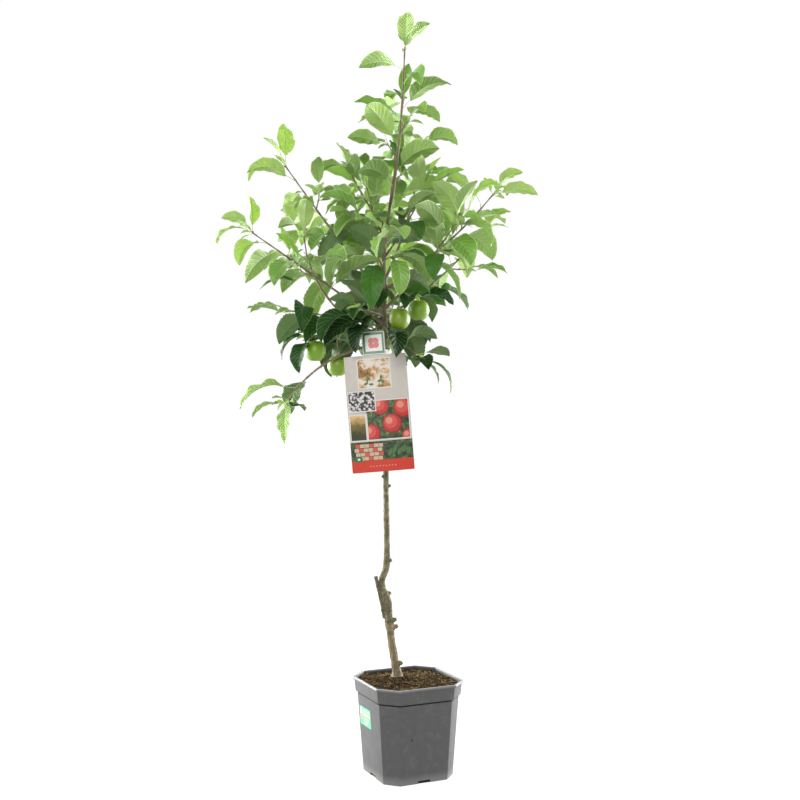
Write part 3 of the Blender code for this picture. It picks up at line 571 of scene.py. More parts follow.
def disc_rings(radii_and_lifts, sides, to_point):
    """A round relief from rings of (radius, lift), closed by a middle point."""
    points = []
    for radius, lift in radii_and_lifts:
        for k in range(sides):
            turn = 2 * math.pi * k / sides
            points.append(to_point(radius * math.cos(turn), radius * math.sin(turn), lift))
    points.append(to_point(0.0, 0.0, radii_and_lifts[-1][1]))
    faces = []
    for i in range(len(radii_and_lifts) - 1):
        for k in range(sides):
            a, b = i * sides + k, i * sides + (k + 1) % sides
            faces.append((a, b, b + sides, a + sides))
    last = (len(radii_and_lifts) - 1) * sides
    faces += [(last + k, last + (k + 1) % sides, len(points) - 1) for k in range(sides)]
    return points, faces


def front_wall(x, y, lift):
    """The point of the front wall at this offset from the dot's middle, lifted off the wall."""
    height = DOT_PLACE[1] + y
    return Vector((DOT_PLACE[0] + x, -body_across(height)[0] / 2 - lift, height))


dot_pile = Pile()
dot_pile.add(*disc_rings(DOT_RELIEF, 20, front_wall), DOT_PLASTIC)
dot_pile.add(*disc_rings(PAD_RELIEF, 32, front_wall), PAD_PLASTIC)
dot_finishes = [pot_shell.data.materials[0], finish("dot plastic", rgb(0.008, 0.009, 0.009), 0.35)]
dress(dot_pile.make("mould_dot", dot_finishes, planted=False), "pot")

# %% [markdown]
# Potting mix is bark, coir and wood fibre. The top of the CAD solid gives the heap. On it go a fine
# uneven surface, then a thousand flat chips of bark, some grit and a felt of thin curved fibres. Every
# one starts from the heap's own height, so nothing floats.

# %% The heap of soil
SOIL_EDGE, SOIL_HEAP = 0.1830, 0.0095
SOIL_GAP = 0.0021
SOIL_RINGS, SOIL_SPOKES = 54, 144
SOIL_CENTRE = TO_ROW @ Vector((-0.0215, 0.0, 0.0))
RIM_SHARE = (SOIL_EDGE - BAND_BOTTOM) / (POT_HEIGHT - BAND_BOTTOM)


def soil_height(x, y):
    """Level at the wall and highest round the trunk, with lumps of two sizes."""
    away = (Vector((x, y)) - SOIL_CENTRE.xy).length
    heap = SOIL_HEAP * math.exp(-((away / 0.045) ** 2))
    lumps = noise.noise(Vector((x, y, 0)) * 95) * 0.0024 + noise.noise(Vector((x, y, 7)) * 320) * 0.0012
    return SOIL_EDGE + heap + lumps


def soil_rim():
    """The soil's edge at the wall: an eight-sided ring with the spokes spread over it."""
    across = blend(BAND_ACROSS, BAND_TOP_ACROSS, RIM_SHARE)
    cut = blend(BAND_CUT, BAND_TOP_CUT, RIM_SHARE)
    corners = rounded_octagon(across, cut, SOIL_EDGE, SOIL_GAP)
    lengths = [(corners[(i + 1) % len(corners)] - corner).length for i, corner in enumerate(corners)]
    found, total = [], sum(lengths)
    for k in range(SOIL_SPOKES):
        at, i = total * k / SOIL_SPOKES, 0
        while at > lengths[i]:
            at -= lengths[i]
            i += 1
        found.append(corners[i].lerp(corners[(i + 1) % len(corners)], at / lengths[i]))
    return found


rim = soil_rim()
soil_pile = Pile()
rings = [[Vector((p.x, p.y, BAND_BOTTOM + 0.004)) for p in rim]]
for i in range(SOIL_RINGS):
    share = 1 - i / (SOIL_RINGS + 0.4)
    ring = []
    for point in rim:
        x, y = blend(SOIL_CENTRE.x, point.x, share), blend(SOIL_CENTRE.y, point.y, share)
        ring.append(Vector((x, y, soil_height(x, y))))
    rings.append(ring)
soil_pile.add(*stack(rings))


def soil_spot(rng):
    """A random place on the heap, inside the wall."""
    edge = rng.choice(rim)
    share = math.sqrt(rng.uniform(0.02, 0.97))
    x, y = blend(SOIL_CENTRE.x, edge.x, share), blend(SOIL_CENTRE.y, edge.y, share)
    return Vector((x, y, soil_height(x, y)))


print("soil surface laid")

# %% Chips of bark and coir fibres
CHIPS, FIBRES, GRIT = 1000, 1500, 420
rng = random.Random(31)


def chip(rng, middle, length, width, thickness):
    """A flat broken piece: a bent box with uneven corners, lying at any angle."""
    turn = Matrix.Rotation(rng.uniform(0, math.tau), 3, "Z")
    tip = Matrix.Rotation(rng.gauss(0, 0.38), 3, "X") @ Matrix.Rotation(rng.gauss(0, 0.38), 3, "Y")
    rings = []
    for i in range(4):
        x = (i / 3 - 0.5) * length
        narrow = width * (0.55 + 0.45 * math.sin(math.pi * (i + 0.6) / 4.2)) * rng.uniform(0.8, 1.1)
        bend = -thickness * 1.4 * (2 * i / 3 - 1) ** 2
        corners = [(-0.5, -0.5), (0.5, -0.4), (0.45, 0.5), (-0.45, 0.4)]
        section = [Vector((x, v * narrow, w * thickness + bend)) for v, w in corners]
        rings.append([turn @ tip @ corner + middle for corner in section])
    return stack(rings)


def fibre(rng, start, length, radius):
    """A thin curved strand with three sides."""
    heading, bend = rng.uniform(0, 360), rng.uniform(-90, 90)
    rings, point = [], start.copy()
    for i in range(6):
        way = direction(heading + bend * i / 5, rng.uniform(-9, 13) - 14 * (i / 5 - 0.3))
        side = Vector((-way.y, way.x, 0)).normalized()
        thin = radius * (1 - 0.6 * abs(2 * i / 5 - 1))
        back, up = side * -0.5 * thin, Vector((0, 0, thin))
        ring = [side * thin, back + up, back - up]
        rings.append([point + corner for corner in ring])
        point = point + way * (length / 5)
        point.z = max(point.z, soil_height(point.x, point.y) + radius * 0.3)
    return stack(rings)


def inside_wall(points):
    """True if all these points stay inside the pot's wall, and no higher than the heap over its lip."""
    half = BAND_TOP_ACROSS / 2 - SOIL_GAP
    slant = (half + half - BAND_TOP_CUT) - 0.001
    top = POT_HEIGHT + SOIL_HEAP
    return all(
        max(abs(p.x), abs(p.y)) < half - 0.001 and abs(p.x) + abs(p.y) < slant and p.z < top
        for p in points
    )


for kind, count in (("chip", CHIPS), ("fibre", FIBRES), ("grit", GRIT)):
    for _ in range(count):
        spot = soil_spot(rng)
        if kind == "chip":
            size = rng.uniform(0.0025, 0.0105)
            shape = chip(rng, spot + Vector((0, 0, 0.0004)), size, size * rng.uniform(0.25, 0.6), 0.0007)
            tone = rng.choice((1, 1, 1, 2, 2, 3))
        elif kind == "fibre":
            shape = fibre(rng, spot, rng.uniform(0.008, 0.024), rng.uniform(0.00022, 0.00048))
            tone = rng.choice((2, 3, 3, 4))
        else:
            size = rng.uniform(0.0010, 0.0026)
            shape = chip(rng, spot + Vector((0, 0, 0.0005)), size, size * 0.8, size * 0.5)
            tone = rng.choice((1, 3, 4, 4, 5))
        if inside_wall(shape[0]):
            soil_pile.add(*shape, tone)


def crumb(name, dark, light):
    """Dry organic stuff: two tones in fine grain, rough all over."""
    return finish(
        name,
        lambda place: place.noise(620.0, 4.0, 0.7).mix(dark, light),
        0.92,
        lambda place: place.noise(900.0, 4.0),
        0.0004,
        **{"Specular IOR Level": 0.15},
    )


soil_mix = soil_pile.make(
    "soil_mix",
    [
        # The bare soil between the chips is its own dark brown, darkened further as painted shade in the
        # gaps.
        crumb("soil base with painted shade", rgb(0.0030, 0.0016, 0.0007), rgb(0.012, 0.007, 0.003)),
        crumb("dark bark chip", rgb(0.008, 0.0045, 0.0018), rgb(0.026, 0.015, 0.006)),
        crumb("brown bark chip", rgb(0.022, 0.012, 0.0045), rgb(0.068, 0.038, 0.014)),
        crumb("coir", rgb(0.052, 0.030, 0.010), rgb(0.125, 0.078, 0.028)),
        crumb("straw", rgb(0.190, 0.130, 0.050), rgb(0.360, 0.260, 0.110)),
        crumb("white wood sliver", rgb(0.400, 0.330, 0.230), rgb(0.540, 0.460, 0.340)),
    ],
    planted=False,
    smooth=False,
)
dress(soil_mix, "soil", "soil")

# %% [markdown]
# The trunk and every limb follow the CAD model's own middle lines. A line is either a smooth curve
# through stations, or a run of short steps whose direction changes evenly. Both rules are written again
# here, so that the fine meshes sit exactly where the plain solids are.

# %% Middle lines
CLEARANCE = 0.0003
TRUNK_STATIONS = (
    (SOIL_EDGE + SOIL_HEAP + CLEARANCE, -0.0215, 0.000, 0.0135),
    (0.1990, -0.0220, 0.000, 0.0105),
    (0.2120, -0.0240, 0.000, 0.0088),
    (0.2480, -0.0305, 0.001, 0.0084),
    (0.2800, -0.0350, 0.001, 0.0080),
    (0.2960, -0.0370, 0.001, 0.0094),
    (0.3080, -0.0385, 0.000, 0.0086),
    (0.3360, -0.0396, -0.001, 0.0082),
    (0.3530, -0.0440, -0.001, 0.0086),
    (0.3690, -0.0515, 0.000, 0.0082),
    (0.3860, -0.0525, 0.001, 0.0070),
    (0.4030, -0.0468, 0.002, 0.0066),
    (0.4200, -0.0428, 0.002, 0.0074),
    (0.4520, -0.0421, 0.001, 0.0063),
    (0.5500, -0.0437, -0.001, 0.0058),
    (0.6500, -0.0445, 0.000, 0.0057),
    (0.7800, -0.0456, 0.001, 0.0055),
    (0.8750, -0.0462, 0.000, 0.0060),
    (0.9700, -0.0480, 0.001, 0.0058),
    (1.0200, -0.0490, 0.000, 0.0047),
    (1.0700, -0.0468, 0.000, 0.0041),
    (1.1250, -0.0392, 0.000, 0.0037),
)
TRUNK_RINGS = 28


def smooth_through(rows, count):
    """count rows of numbers on a smooth curve through rows, evenly spread over them."""
    ends = [rows[0], *rows, rows[-1]]
    found = []
    for i in range(count):
        at = i * (len(rows) - 1) / (count - 1)
        k = min(int(at), len(rows) - 2)
        t = at - k
        found.append(
            tuple(
                b + t / 2 * (c - a + t * (2 * a - 5 * b + 4 * c - d + t * (3 * (b - c) + d - a)))
                for a, b, c, d in zip(*ends[k : k + 4])
            )
        )
    return found


TRUNK_ROWS = smooth_through(TRUNK_STATIONS, TRUNK_RINGS)


def trunk_at(height):
    """The trunk's middle and its radius at a height."""
    rows = TRUNK_ROWS
    k = next(i for i in range(1, len(rows)) if rows[i][0] >= height or i == len(rows) - 1)
    share = (height - rows[k - 1][0]) / (rows[k][0] - rows[k - 1][0])
    z, across, depth, radius = (blend(a, b, share) for a, b in zip(rows[k - 1], rows[k]))
    return Vector((across, depth, height)), radius


def run_line(start, steps, length, heading, climb, lift=0.0, sway=0.0):
    """Points of a limb from start, whose climb changes evenly by lift and whose heading by sway."""
    points = [Vector(start)]
    for i in range(steps):
        share = (i + 0.5) / steps
        way = direction(heading + sway * share, climb + lift * share)
        points.append(points[-1] + way * (length / steps))
    return points


def part_line(points, first, last, steps):
    """steps + 1 points spread evenly over a stretch of a line, between two shares of its length."""
    found = []
    for i in range(steps + 1):
        at = blend(first, last, i / steps) * (len(points) - 1)
        k = min(int(at), len(points) - 2)
        found.append(points[k].lerp(points[k + 1], at - k))
    return found


def point_on(line, share):
    """The point at a share of a line's length, and the line's way there."""
    at = share * (len(line) - 1)
    k = min(int(at), len(line) - 2)
    return line[k].lerp(line[k + 1], at - k), (line[k + 1] - line[k]).normalized()


def tube(points, radii, sides):
    """Points and faces of a closed tube, its rings carried on without twisting."""
    last = len(points) - 1
    ways = [(points[min(i + 1, last)] - points[max(i - 1, 0)]).normalized() for i in range(last + 1)]
    across = ways[0].orthogonal().normalized()
    rings = []
    for point, way, radius in zip(points, ways, radii):
        across = (across - way * across.dot(way)).normalized()
        other = way.cross(across)
        turns = [2 * math.pi * k / sides for k in range(sides)]
        rings.append([point + (across * math.cos(t) + other * math.sin(t)) * radius for t in turns])
    return stack(rings)


print("trunk rises from", round(TRUNK_STATIONS[0][0], 3), "to", TRUNK_STATIONS[-1][0])

# %% [markdown]
# Bark has real relief: long ridges, wrinkles round old knots, rings where the tree was grafted. The
# trunk, its pruning knobs and the dead snag are heaped as tubes and melted into one skin by a voxel
# remesh. Then each point of the skin is moved along its normal by layered noise that is stretched
# upwards, so the relief is in the mesh itself and not only in the material.

# %% The trunk
KNOBS = (
    (0.2170, -15.0, 0.0085, 0.0050),
    (0.2890, 5.0, 0.0100, 0.0048),
    (0.3040, 350.0, 0.0085, 0.0045),
    (0.3570, 20.0, 0.0060, 0.0045),
    (0.4250, 350.0, 0.0050, 0.0040),
    (0.5270, 90.0, 0.0035, 0.0040),
    (0.5760, 10.0, 0.0055, 0.0036),
    (0.5950, 190.0, 0.0050, 0.0036),
    (0.7050, 300.0, 0.0050, 0.0036),
)
SNAG_FOOT, SNAG_TIP, SNAG_RADIUS = Vector((-0.0480, 0.000, 0.3120)), Vector((-0.0650, -0.006, 0.3960)), 0.0036
BARK_VOXEL = 0.0009


def melt(obj, voxel):
    """One skin round everything in the mesh."""
    skin = obj.modifiers.new("skin", "REMESH")
    skin.mode, skin.voxel_size, skin.use_smooth_shade = "VOXEL", voxel, True
    evaluated(obj)
    soft = obj.modifiers.new("soft", "SMOOTH")
    soft.factor, soft.iterations = 0.5, 3
    return evaluated(obj)


def roughen(obj, relief):
    """Moves each point along its normal by relief(point)."""
    mesh = obj.data
    moved = [v.co + v.normal * relief(v.co) for v in mesh.vertices]
    mesh.vertices.foreach_set("co", np.array(moved, np.float32).ravel())
    mesh.update()
    return obj


def old_bark(point):
    """Ridges that run up the stem, with wrinkles across them, deeper on the old rootstock."""
    ridges = noise.noise(Vector((point.x * 420, point.y * 420, point.z * 55)))
    wrinkles = noise.noise(Vector((point.x * 160, point.y * 160, point.z * 620)))
    lumps = noise.noise(point * 95) + 0.5 * noise.noise(point * 210)
    deep = 2.0 if point.z < 0.41 else 1.2
    return deep * (0.00034 * ridges + 0.00020 * wrinkles + 0.00045 * lumps)


fine_rows = smooth_through(TRUNK_STATIONS, 160)
trunk_line = [Vector((across, depth, z)) for z, across, depth, _ in fine_rows]
trunk_pile = Pile()
trunk_pile.add(*tube(trunk_line, [row[3] for row in fine_rows], 20))
for height, heading, stand, radius in KNOBS:
    middle, trunk_radius = trunk_at(height)
    way = direction(heading, 18)
    reach = trunk_radius + stand - radius
    line = [middle + way * (reach * s) for s in (0.1, 0.5, 0.8, 1.0)]
    line.append(middle + way * (reach + radius * 0.75))
    trunk_pile.add(*tube(line, [radius * s for s in (1.7, 1.35, 1.05, 1.0, 0.6)], 12))
snag_start = SNAG_FOOT.lerp(trunk_at(SNAG_FOOT.z)[0], 0.8)
snag = [snag_start, SNAG_FOOT, SNAG_FOOT.lerp(SNAG_TIP, 0.35) + Vector((0.001, 0, 0))]
snag += [SNAG_FOOT.lerp(SNAG_TIP, 0.7), SNAG_TIP]
snag_line = [snag[0], *part_line(snag, 0.25, 1.0, 10)]
trunk_pile.add(*tube(snag_line, [SNAG_RADIUS] * len(snag_line), 12))
trunk_bark = trunk_pile.make("trunk_bark", [])
melt(trunk_bark, BARK_VOXEL)
roughen(trunk_bark, old_bark)
dress(trunk_bark, "bark", "trunk")
print("trunk skin has", len(trunk_bark.data.polygons), "faces")

# %% [markdown]
# The colours of bark follow its age. The rootstock below the graft is tan grey, the stem above it is
# olive brown with paler skin flaking off in patches. The mask for the
# height is an ordinary sum on the height, so the change falls at the graft on every side.

# %% The bark's finish
GRAFT_HEIGHT = 0.300


def bark_colour(place):
    height = place.node("SeparateXYZ", None, {0: place}, output=2)
    grain = place.stretch(240, 26).noise(1.0, 5.0, 0.65)
    flakes = place.stretch(120, 60).noise(1.0, 4.0, 0.6).above(0.54, 0.07)
    old = grain.mix(rgb(0.050, 0.037, 0.017), rgb(0.300, 0.240, 0.130))
    young = grain.mix(rgb(0.034, 0.030, 0.012), rgb(0.150, 0.132, 0.062))
    pale = (flakes * 0.5).mix(young, rgb(0.230, 0.215, 0.120))
    both = height.above(GRAFT_HEIGHT, 0.003).mix(old, pale)
    # Small dark spots: painted shade, standing for the shade in little pit hollows of the bark.
    pit_shade = (1 - place.cells(210.0).above(0.20, 0.10)) * 0.55
    with_pit_shade = pit_shade.mix(both, rgb(0.040, 0.029, 0.015))
    rings = place.stretch(9, 130).noise(1.0, 4.0, 0.6).above(0.60, 0.05)
    return (rings * 0.6).mix(with_pit_shade, rgb(0.045, 0.035, 0.018))


def bark_relief(place):
    return place.stretch(330, 70).noise(1.0, 6.0, 0.7)


trunk_bark.data.materials.clear()
trunk_bark.data.materials.append(
    finish("bark", bark_colour, lambda place: place.noise(300.0) * 0.2 + 0.66, bark_relief, 0.0011)
)
print("bark finished")

# %% [markdown]
# The limbs of the tree are eleven boughs, eleven short spurs on the trunk and the leader that goes on
# from the trunk's tip. Each has a height, a heading and a climb, and each ends in a mass of leaves.
# These are the same values that shaped the CAD model. The seeds weren't chosen by hand: a separate search
# program grew each mass from many seeds and kept those whose leaves lay nearest to the outline of the
# crown in the photo. Other whole numbers give a tree of the same habit with its leaves in other places.

# %% The limbs
BOUGHS = {
    "right": dict(
        height=0.976, heading=-5, climb=31, lift=20, sway=4, length=0.295, bare=0.44,
        seeds=(95, 10506, 10756),
    ),
    "left_low": dict(
        height=0.906, heading=186, climb=34, lift=1, sway=-4, length=0.325, bare=0.42,
        seeds=(2254, 2323, 3323),
    ),
    "left_high": dict(
        height=0.957, heading=172, climb=52, lift=3, sway=4, length=0.345, bare=0.44,
        seeds=(2545, 592, 3507),
    ),
    "left_front": dict(
        height=0.884, heading=204, climb=10, lift=76, sway=-8, length=0.275, bare=0.48,
        seeds=(4163, 4924, 2387),
    ),
    "low": dict(
        height=0.866, heading=192, climb=-4, lift=-52, sway=-8, length=0.235, bare=0.68,
        seeds=(5521, 12694),
    ),
    "front": dict(
        height=0.962, heading=268, climb=24, lift=16, sway=8, length=0.185, bare=0.42,
        seeds=(946, 254, 203),
    ),
    "right_front": dict(
        height=0.938, heading=-30, climb=36, lift=14, sway=-8, length=0.230, bare=0.42,
        seeds=(882, 4429, 4214),
    ),
    "right_back": dict(
        height=0.918, heading=30, climb=30, lift=18, sway=-6, length=0.285, bare=0.42,
        seeds=(3512, 2124, 1691),
    ),
    "back_high": dict(
        height=0.992, heading=44, climb=58, lift=24, sway=-4, length=0.315, bare=0.38,
        seeds=(2517, 4820, 2023),
    ),
    "back": dict(
        height=0.944, heading=96, climb=38, lift=12, sway=6, length=0.290, bare=0.42,
        seeds=(4067, 2903, 2479),
    ),
    "left_back": dict(
        height=0.928, heading=138, climb=34, lift=14, sway=4, length=0.300, bare=0.42,
        seeds=(4237, 526, 1753),
    ),
}
SPURS = {
    "fruit_front": dict(
        height=0.984, heading=314, climb=-8, lift=-20, sway=0, length=0.078,
        seeds=(630, 1835),
    ),
    "fruit_left": dict(
        height=0.892, heading=176, climb=2, lift=-14, sway=14, length=0.150,
        seeds=(723, 9771),
    ),
    "fruit_back": dict(
        height=0.930, heading=70, climb=4, lift=6, sway=0, length=0.085,
        seeds=(3505, 2023),
    ),
    "upper_left": dict(
        height=1.100, heading=178, climb=50, lift=16, sway=0, length=0.145,
        seeds=(8225, 5668, 1455),
    ),
    "upper_right": dict(
        height=1.040, heading=-18, climb=52, lift=10, sway=0, length=0.150,
        seeds=(629, 6121, 13450),
    ),
    "upper_front": dict(
        height=1.020, heading=238, climb=40, lift=10, sway=0, length=0.105,
        seeds=(3000, 4219, 747),
    ),
    "upper_back": dict(
        height=1.075, heading=118, climb=48, lift=16, sway=0, length=0.150,
        seeds=(4500, 2048, 1439),
    ),
    "inner_right": dict(
        height=0.884, heading=-22, climb=-16, lift=-30, sway=0, length=0.080,
        seeds=(7863, 4257),
    ),
    "inner_front": dict(
        height=0.922, heading=238, climb=10, lift=-10, sway=0, length=0.085,
        seeds=(2075, 3433, 2502),
    ),
    "inner_back": dict(
        height=0.874, heading=128, climb=14, lift=-20, sway=0, length=0.100,
        seeds=(2084, 4852, 4644),
    ),
    "thin_left": dict(
        height=0.900, heading=190, climb=13, lift=-8, sway=4, length=0.190,
        seeds=(2689, 538),
    ),
}
LEADER = dict(
    climb=80, lift=9, heading=-4, sway=20, length=0.350,
    seeds=(7123, 9097, 13708, 10480, 11212, 10084, 3899, 4961, 13875),
)

print(len(BOUGHS), "boughs,", len(SPURS), "spurs and the leader")

# %% [markdown]
# How leaves stand on an apple shoot: each one sits a fixed turn of 137.5 degrees further round than the
# last, so that few are straight above each other, and a rosette of smaller ones closes the tip. Every
# leaf then has its own chance rise, droop and roll, drawn from a seeded generator. This is the rule of
# the CAD model, written again with the same seeds, so it gives the same leaves in the same places.

# %% The rule of growth
LEADER_RADIUS, BOUGH_FOOT_RADIUS, BOUGH_TIP_RADIUS = 0.0035, 0.0036, 0.0021
SPUR_RADIUS, SHOOT_TIP_RADIUS, SHOOT_RINGS = 0.0022, 0.0011, 4
BLADE_LENGTH, BLADE_WIDTH = 0.104, 0.051
PETIOLE_LENGTH, PETIOLE_RADIUS = 0.026, 0.0007
NODE_SPACING, DIVERGENCE = 0.029, 137.5
SPINE_STEPS = 12
TURN_FREEDOM = 55.0
LEAF_DRAWS = 6
MASS_SHAPES = {
    "leader": dict(tip_leaves=3, sides=4, side_length=0.030, run=3),
    "fruit_front": dict(tip_leaves=2),
    "fruit_left": dict(tip_leaves=2),
    "fruit_back": dict(tip_leaves=2),
    "inner_right": dict(tip_leaves=3),
    "inner_front": dict(tip_leaves=3, sides=1),
    "inner_back": dict(tip_leaves=3, sides=1),
    "thin_left": dict(tip_leaves=2, first=0.75),
    "low": dict(tip_leaves=3, first=0.2),
}
PLAIN_MASS = dict(tip_leaves=3, sides=1, side_length=0.028)


def limb_line(limb):
    """The middle line of a bough or spur, from the middle of the trunk."""
    shape = {key: limb[key] for key in ("length", "heading", "climb", "lift", "sway")}
    return run_line(trunk_at(limb["height"])[0], 24, **shape)


def leader_line():
    """The middle line of the top shoot, which goes on from the trunk's tip."""
    z, across, depth, _ = TRUNK_ROWS[-1]
    shape = {key: LEADER[key] for key in ("length", "heading", "climb", "lift", "sway")}
    return run_line(Vector((across, depth, z + CLEARANCE)), 24, **shape)


def plan_stems():
    """Each mass's middle line and foot radius."""
    lines = {"leader": (leader_line(), LEADER_RADIUS)}
    for name, limb in BOUGHS.items():
        gap = 2 * CLEARANCE / limb["length"]
        lines[name] = (part_line(limb_line(limb), limb["bare"] + gap, 1.0, 12), BOUGH_TIP_RADIUS)
    for name, limb in SPURS.items():
        lines[name] = (limb_line(limb), SPUR_RADIUS)
    return lines


def leaf_places(line, turn, first, tip_leaves, size):
    """Where the leaves of one shoot stand: root, way, turn, spread and size, in their spiral order."""
    length = sum((b - a).length for a, b in zip(line, line[1:]))
    count = max(1, round(length * (1 - first) / NODE_SPACING))
    rows = []
    for i in range(count):
        share = i / count
        rows.append((blend(first, 0.93, share), 62.0, 0.80 + 0.20 * min(1, 2 * (1 - share))))
    rows += [(0.985, 42.0 - 9.0 * i, 0.82 - 0.12 * i) for i in range(tip_leaves)]
    return [
        (*point_on(line, at), turn + DIVERGENCE * k, spread, size * part)
        for k, (at, spread, part) in enumerate(rows)
    ]


def side_shoots(rng, line, count, length):
    """Short spurs that branch from a stem by the same spiral as the leaves."""
    found = []
    turn = rng.uniform(0, 360)
    for i in range(count):
        turn += DIVERGENCE
        root, way = point_on(line, blend(0.15, 0.70, (i + 0.5) / count))
        across = Matrix.Rotation(math.radians(turn), 3, way) @ way.orthogonal().normalized()
        start = (way * 0.62 + across * 0.78).normalized()
        reach = length * rng.uniform(0.6, 1.2)
        found.append(run_line(root, 3, reach, heading_of(start), climb_of(start), lift=14))
    return found


def plan_shoots(name, line, tip_leaves=3, sides=0, side_length=0.03, first=0.1, run=8):
    """The stem and spurs of one mass, and the places of their leaves in groups.

    Each group is drawn from one seed: the stem's leaves in runs, then the tip's and each spur's."""
    rng = random.Random(sum(ord(letter) * (i + 1) for i, letter in enumerate(name)))
    stem = part_line(line, 0.0, 1.0, SHOOT_RINGS)
    spurs = side_shoots(rng, stem, sides, side_length)
    places = leaf_places(stem, rng.uniform(0, 360), first, tip_leaves, 1.0)
    on_stem, at_tip = places[:-tip_leaves], places[-tip_leaves:]
    groups = [on_stem[i : i + run] for i in range(0, len(on_stem), run)] + [at_tip]
    for spur in spurs:
        groups.append(leaf_places(spur, rng.uniform(0, 360), 0.6, 2, 0.9))
    return stem, spurs, groups


def leaf_at(seed, root, way, turn, spread, size):
    """A leaf that leaves a shoot at root, turned round it by turn and spread from its way."""
    rng = random.Random(seed)
    across = way.cross(Vector((0, 0, 1)))
    across = across.normalized() if across.length > 0.05 else Vector((1, 0, 0))
    out = Matrix.Rotation(math.radians(turn + rng.uniform(-1, 1) * TURN_FREEDOM), 3, way) @ across
    spread = math.radians(spread + rng.uniform(-14, 10))
    start = (way * math.cos(spread) + out * math.sin(spread)).normalized()
    stalk_rise = max(-50.0, climb_of(start))
    upright = max(0.0, stalk_rise - 40) / 50
    return dict(
        root=root,
        heading=heading_of(start),
        stalk_rise=stalk_rise,
        stalk=PETIOLE_LENGTH * rng.uniform(0.7, 1.3) * (0.5 + 0.5 * size),
        rise=blend(stalk_rise, 18.0, rng.uniform(0.0, 0.9) * (1 - upright)) + rng.uniform(-12, 12),
        length=BLADE_LENGTH * size * rng.uniform(0.86, 1.10),
        width=BLADE_WIDTH * size * rng.uniform(0.86, 1.08),
        droop=rng.uniform(45, 120) * (1 - 0.5 * upright) * min(1.0, 0.45 + 0.55 * size),
        hook=rng.uniform(-24, 24),
        roll=rng.uniform(-65, 65),
        fold=rng.uniform(12, 34),
    )


def leaf_spine(leaf):
    """The middle line of a leaf's blade, as (point, way, side) rows. It bends over by its droop."""
    level = direction(leaf["heading"] + 90, 0)
    point = leaf["root"] + direction(leaf["heading"], leaf["stalk_rise"]) * leaf["stalk"]
    rows = []
    for i in range(SPINE_STEPS + 1):
        share = i / SPINE_STEPS
        way = direction(leaf["heading"] + leaf["hook"] * share, leaf["rise"] - leaf["droop"] * share)
        roll = Matrix.Rotation(math.radians(leaf["roll"] * (0.5 + 0.5 * share)), 3, way)
        side = roll @ (level - way * level.dot(way)).normalized()
        rows.append((point.copy(), way, side))
        point += way * (leaf["length"] / SPINE_STEPS)
    return rows


print("a full leaf is", BLADE_LENGTH, "m long on a stalk of", PETIOLE_LENGTH)

# %% [markdown]
# In the CAD model a leaf that would touch a limb or another leaf is drawn again, a few times at most.
# There is no need to repeat those tests. The tip of a leaf is a point of the CAD node's mesh, so the
# draw whose tip is found there is the one that grew.

# %% Find the leaves that grew
TIP_TOLERANCE = 0.0004


def points_of(node):
    """A search tree over the points of a CAD node, in the tree's own frame."""
    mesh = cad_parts[node].data
    tree = KDTree(len(mesh.vertices))
    for i, vertex in enumerate(mesh.vertices):
        tree.insert(TO_ROW.transposed() @ vertex.co, i)
    tree.balance()
    return tree


def limb_of(name):
    return LEADER if name == "leader" else BOUGHS.get(name) or SPURS[name]


def grown_leaves(name, groups):
    """The leaves of one mass, each with its spine and the place that it grew from."""
    known = points_of("leaves_" + name)
    found = []
    for seed, places in zip(limb_of(name)["seeds"], groups):
        for k, place in enumerate(places):
            for draw in range(LEAF_DRAWS):
                leaf = leaf_at((seed * 20 + k) * 10 + draw, *place)
                spine = leaf_spine(leaf)
                if known.find(spine[-1][0])[2] < TIP_TOLERANCE:
                    found.append((leaf, spine, place))
                    break
    return found


stems = plan_stems()
plans = {}
for name, (line, _) in stems.items():
    plans[name] = plan_shoots(name, line, **MASS_SHAPES.get(name, PLAIN_MASS))
crown = {name: grown_leaves(name, plans[name][2]) for name in stems}
print("leaves found:", sum(len(leaves) for leaves in crown.values()))

# %% [markdown]
# An apple leaf is an oval blade that comes to a point, folded upwards a little along its midrib, with
# about nine pairs of side veins that curve forwards, a toothed edge that waves, and a surface that
# swells between the veins. One grid holds all of that. Its rows follow the side veins, so each vein
# can be a narrow strip of faces in its own paler green, and so can the downy edge, whose pale green is
# a painted highlight where it catches the light. The grid is worked out once, as shares of a leaf's
# length and width, and then bent along each
# leaf's own middle line.

# %% The grid of a leaf
LEAF_OUTLINE = (
    (0.00, 0.05), (0.05, 0.30), (0.12, 0.60), (0.22, 0.84), (0.34, 0.98), (0.44, 1.00),
    (0.58, 0.95), (0.70, 0.81), (0.80, 0.60), (0.88, 0.40), (0.94, 0.22), (1.00, 0.01),
)
VEIN_HALF = 0.0046
VEIN_SLANT = 0.22
LEAF_THICKNESS = 0.00028


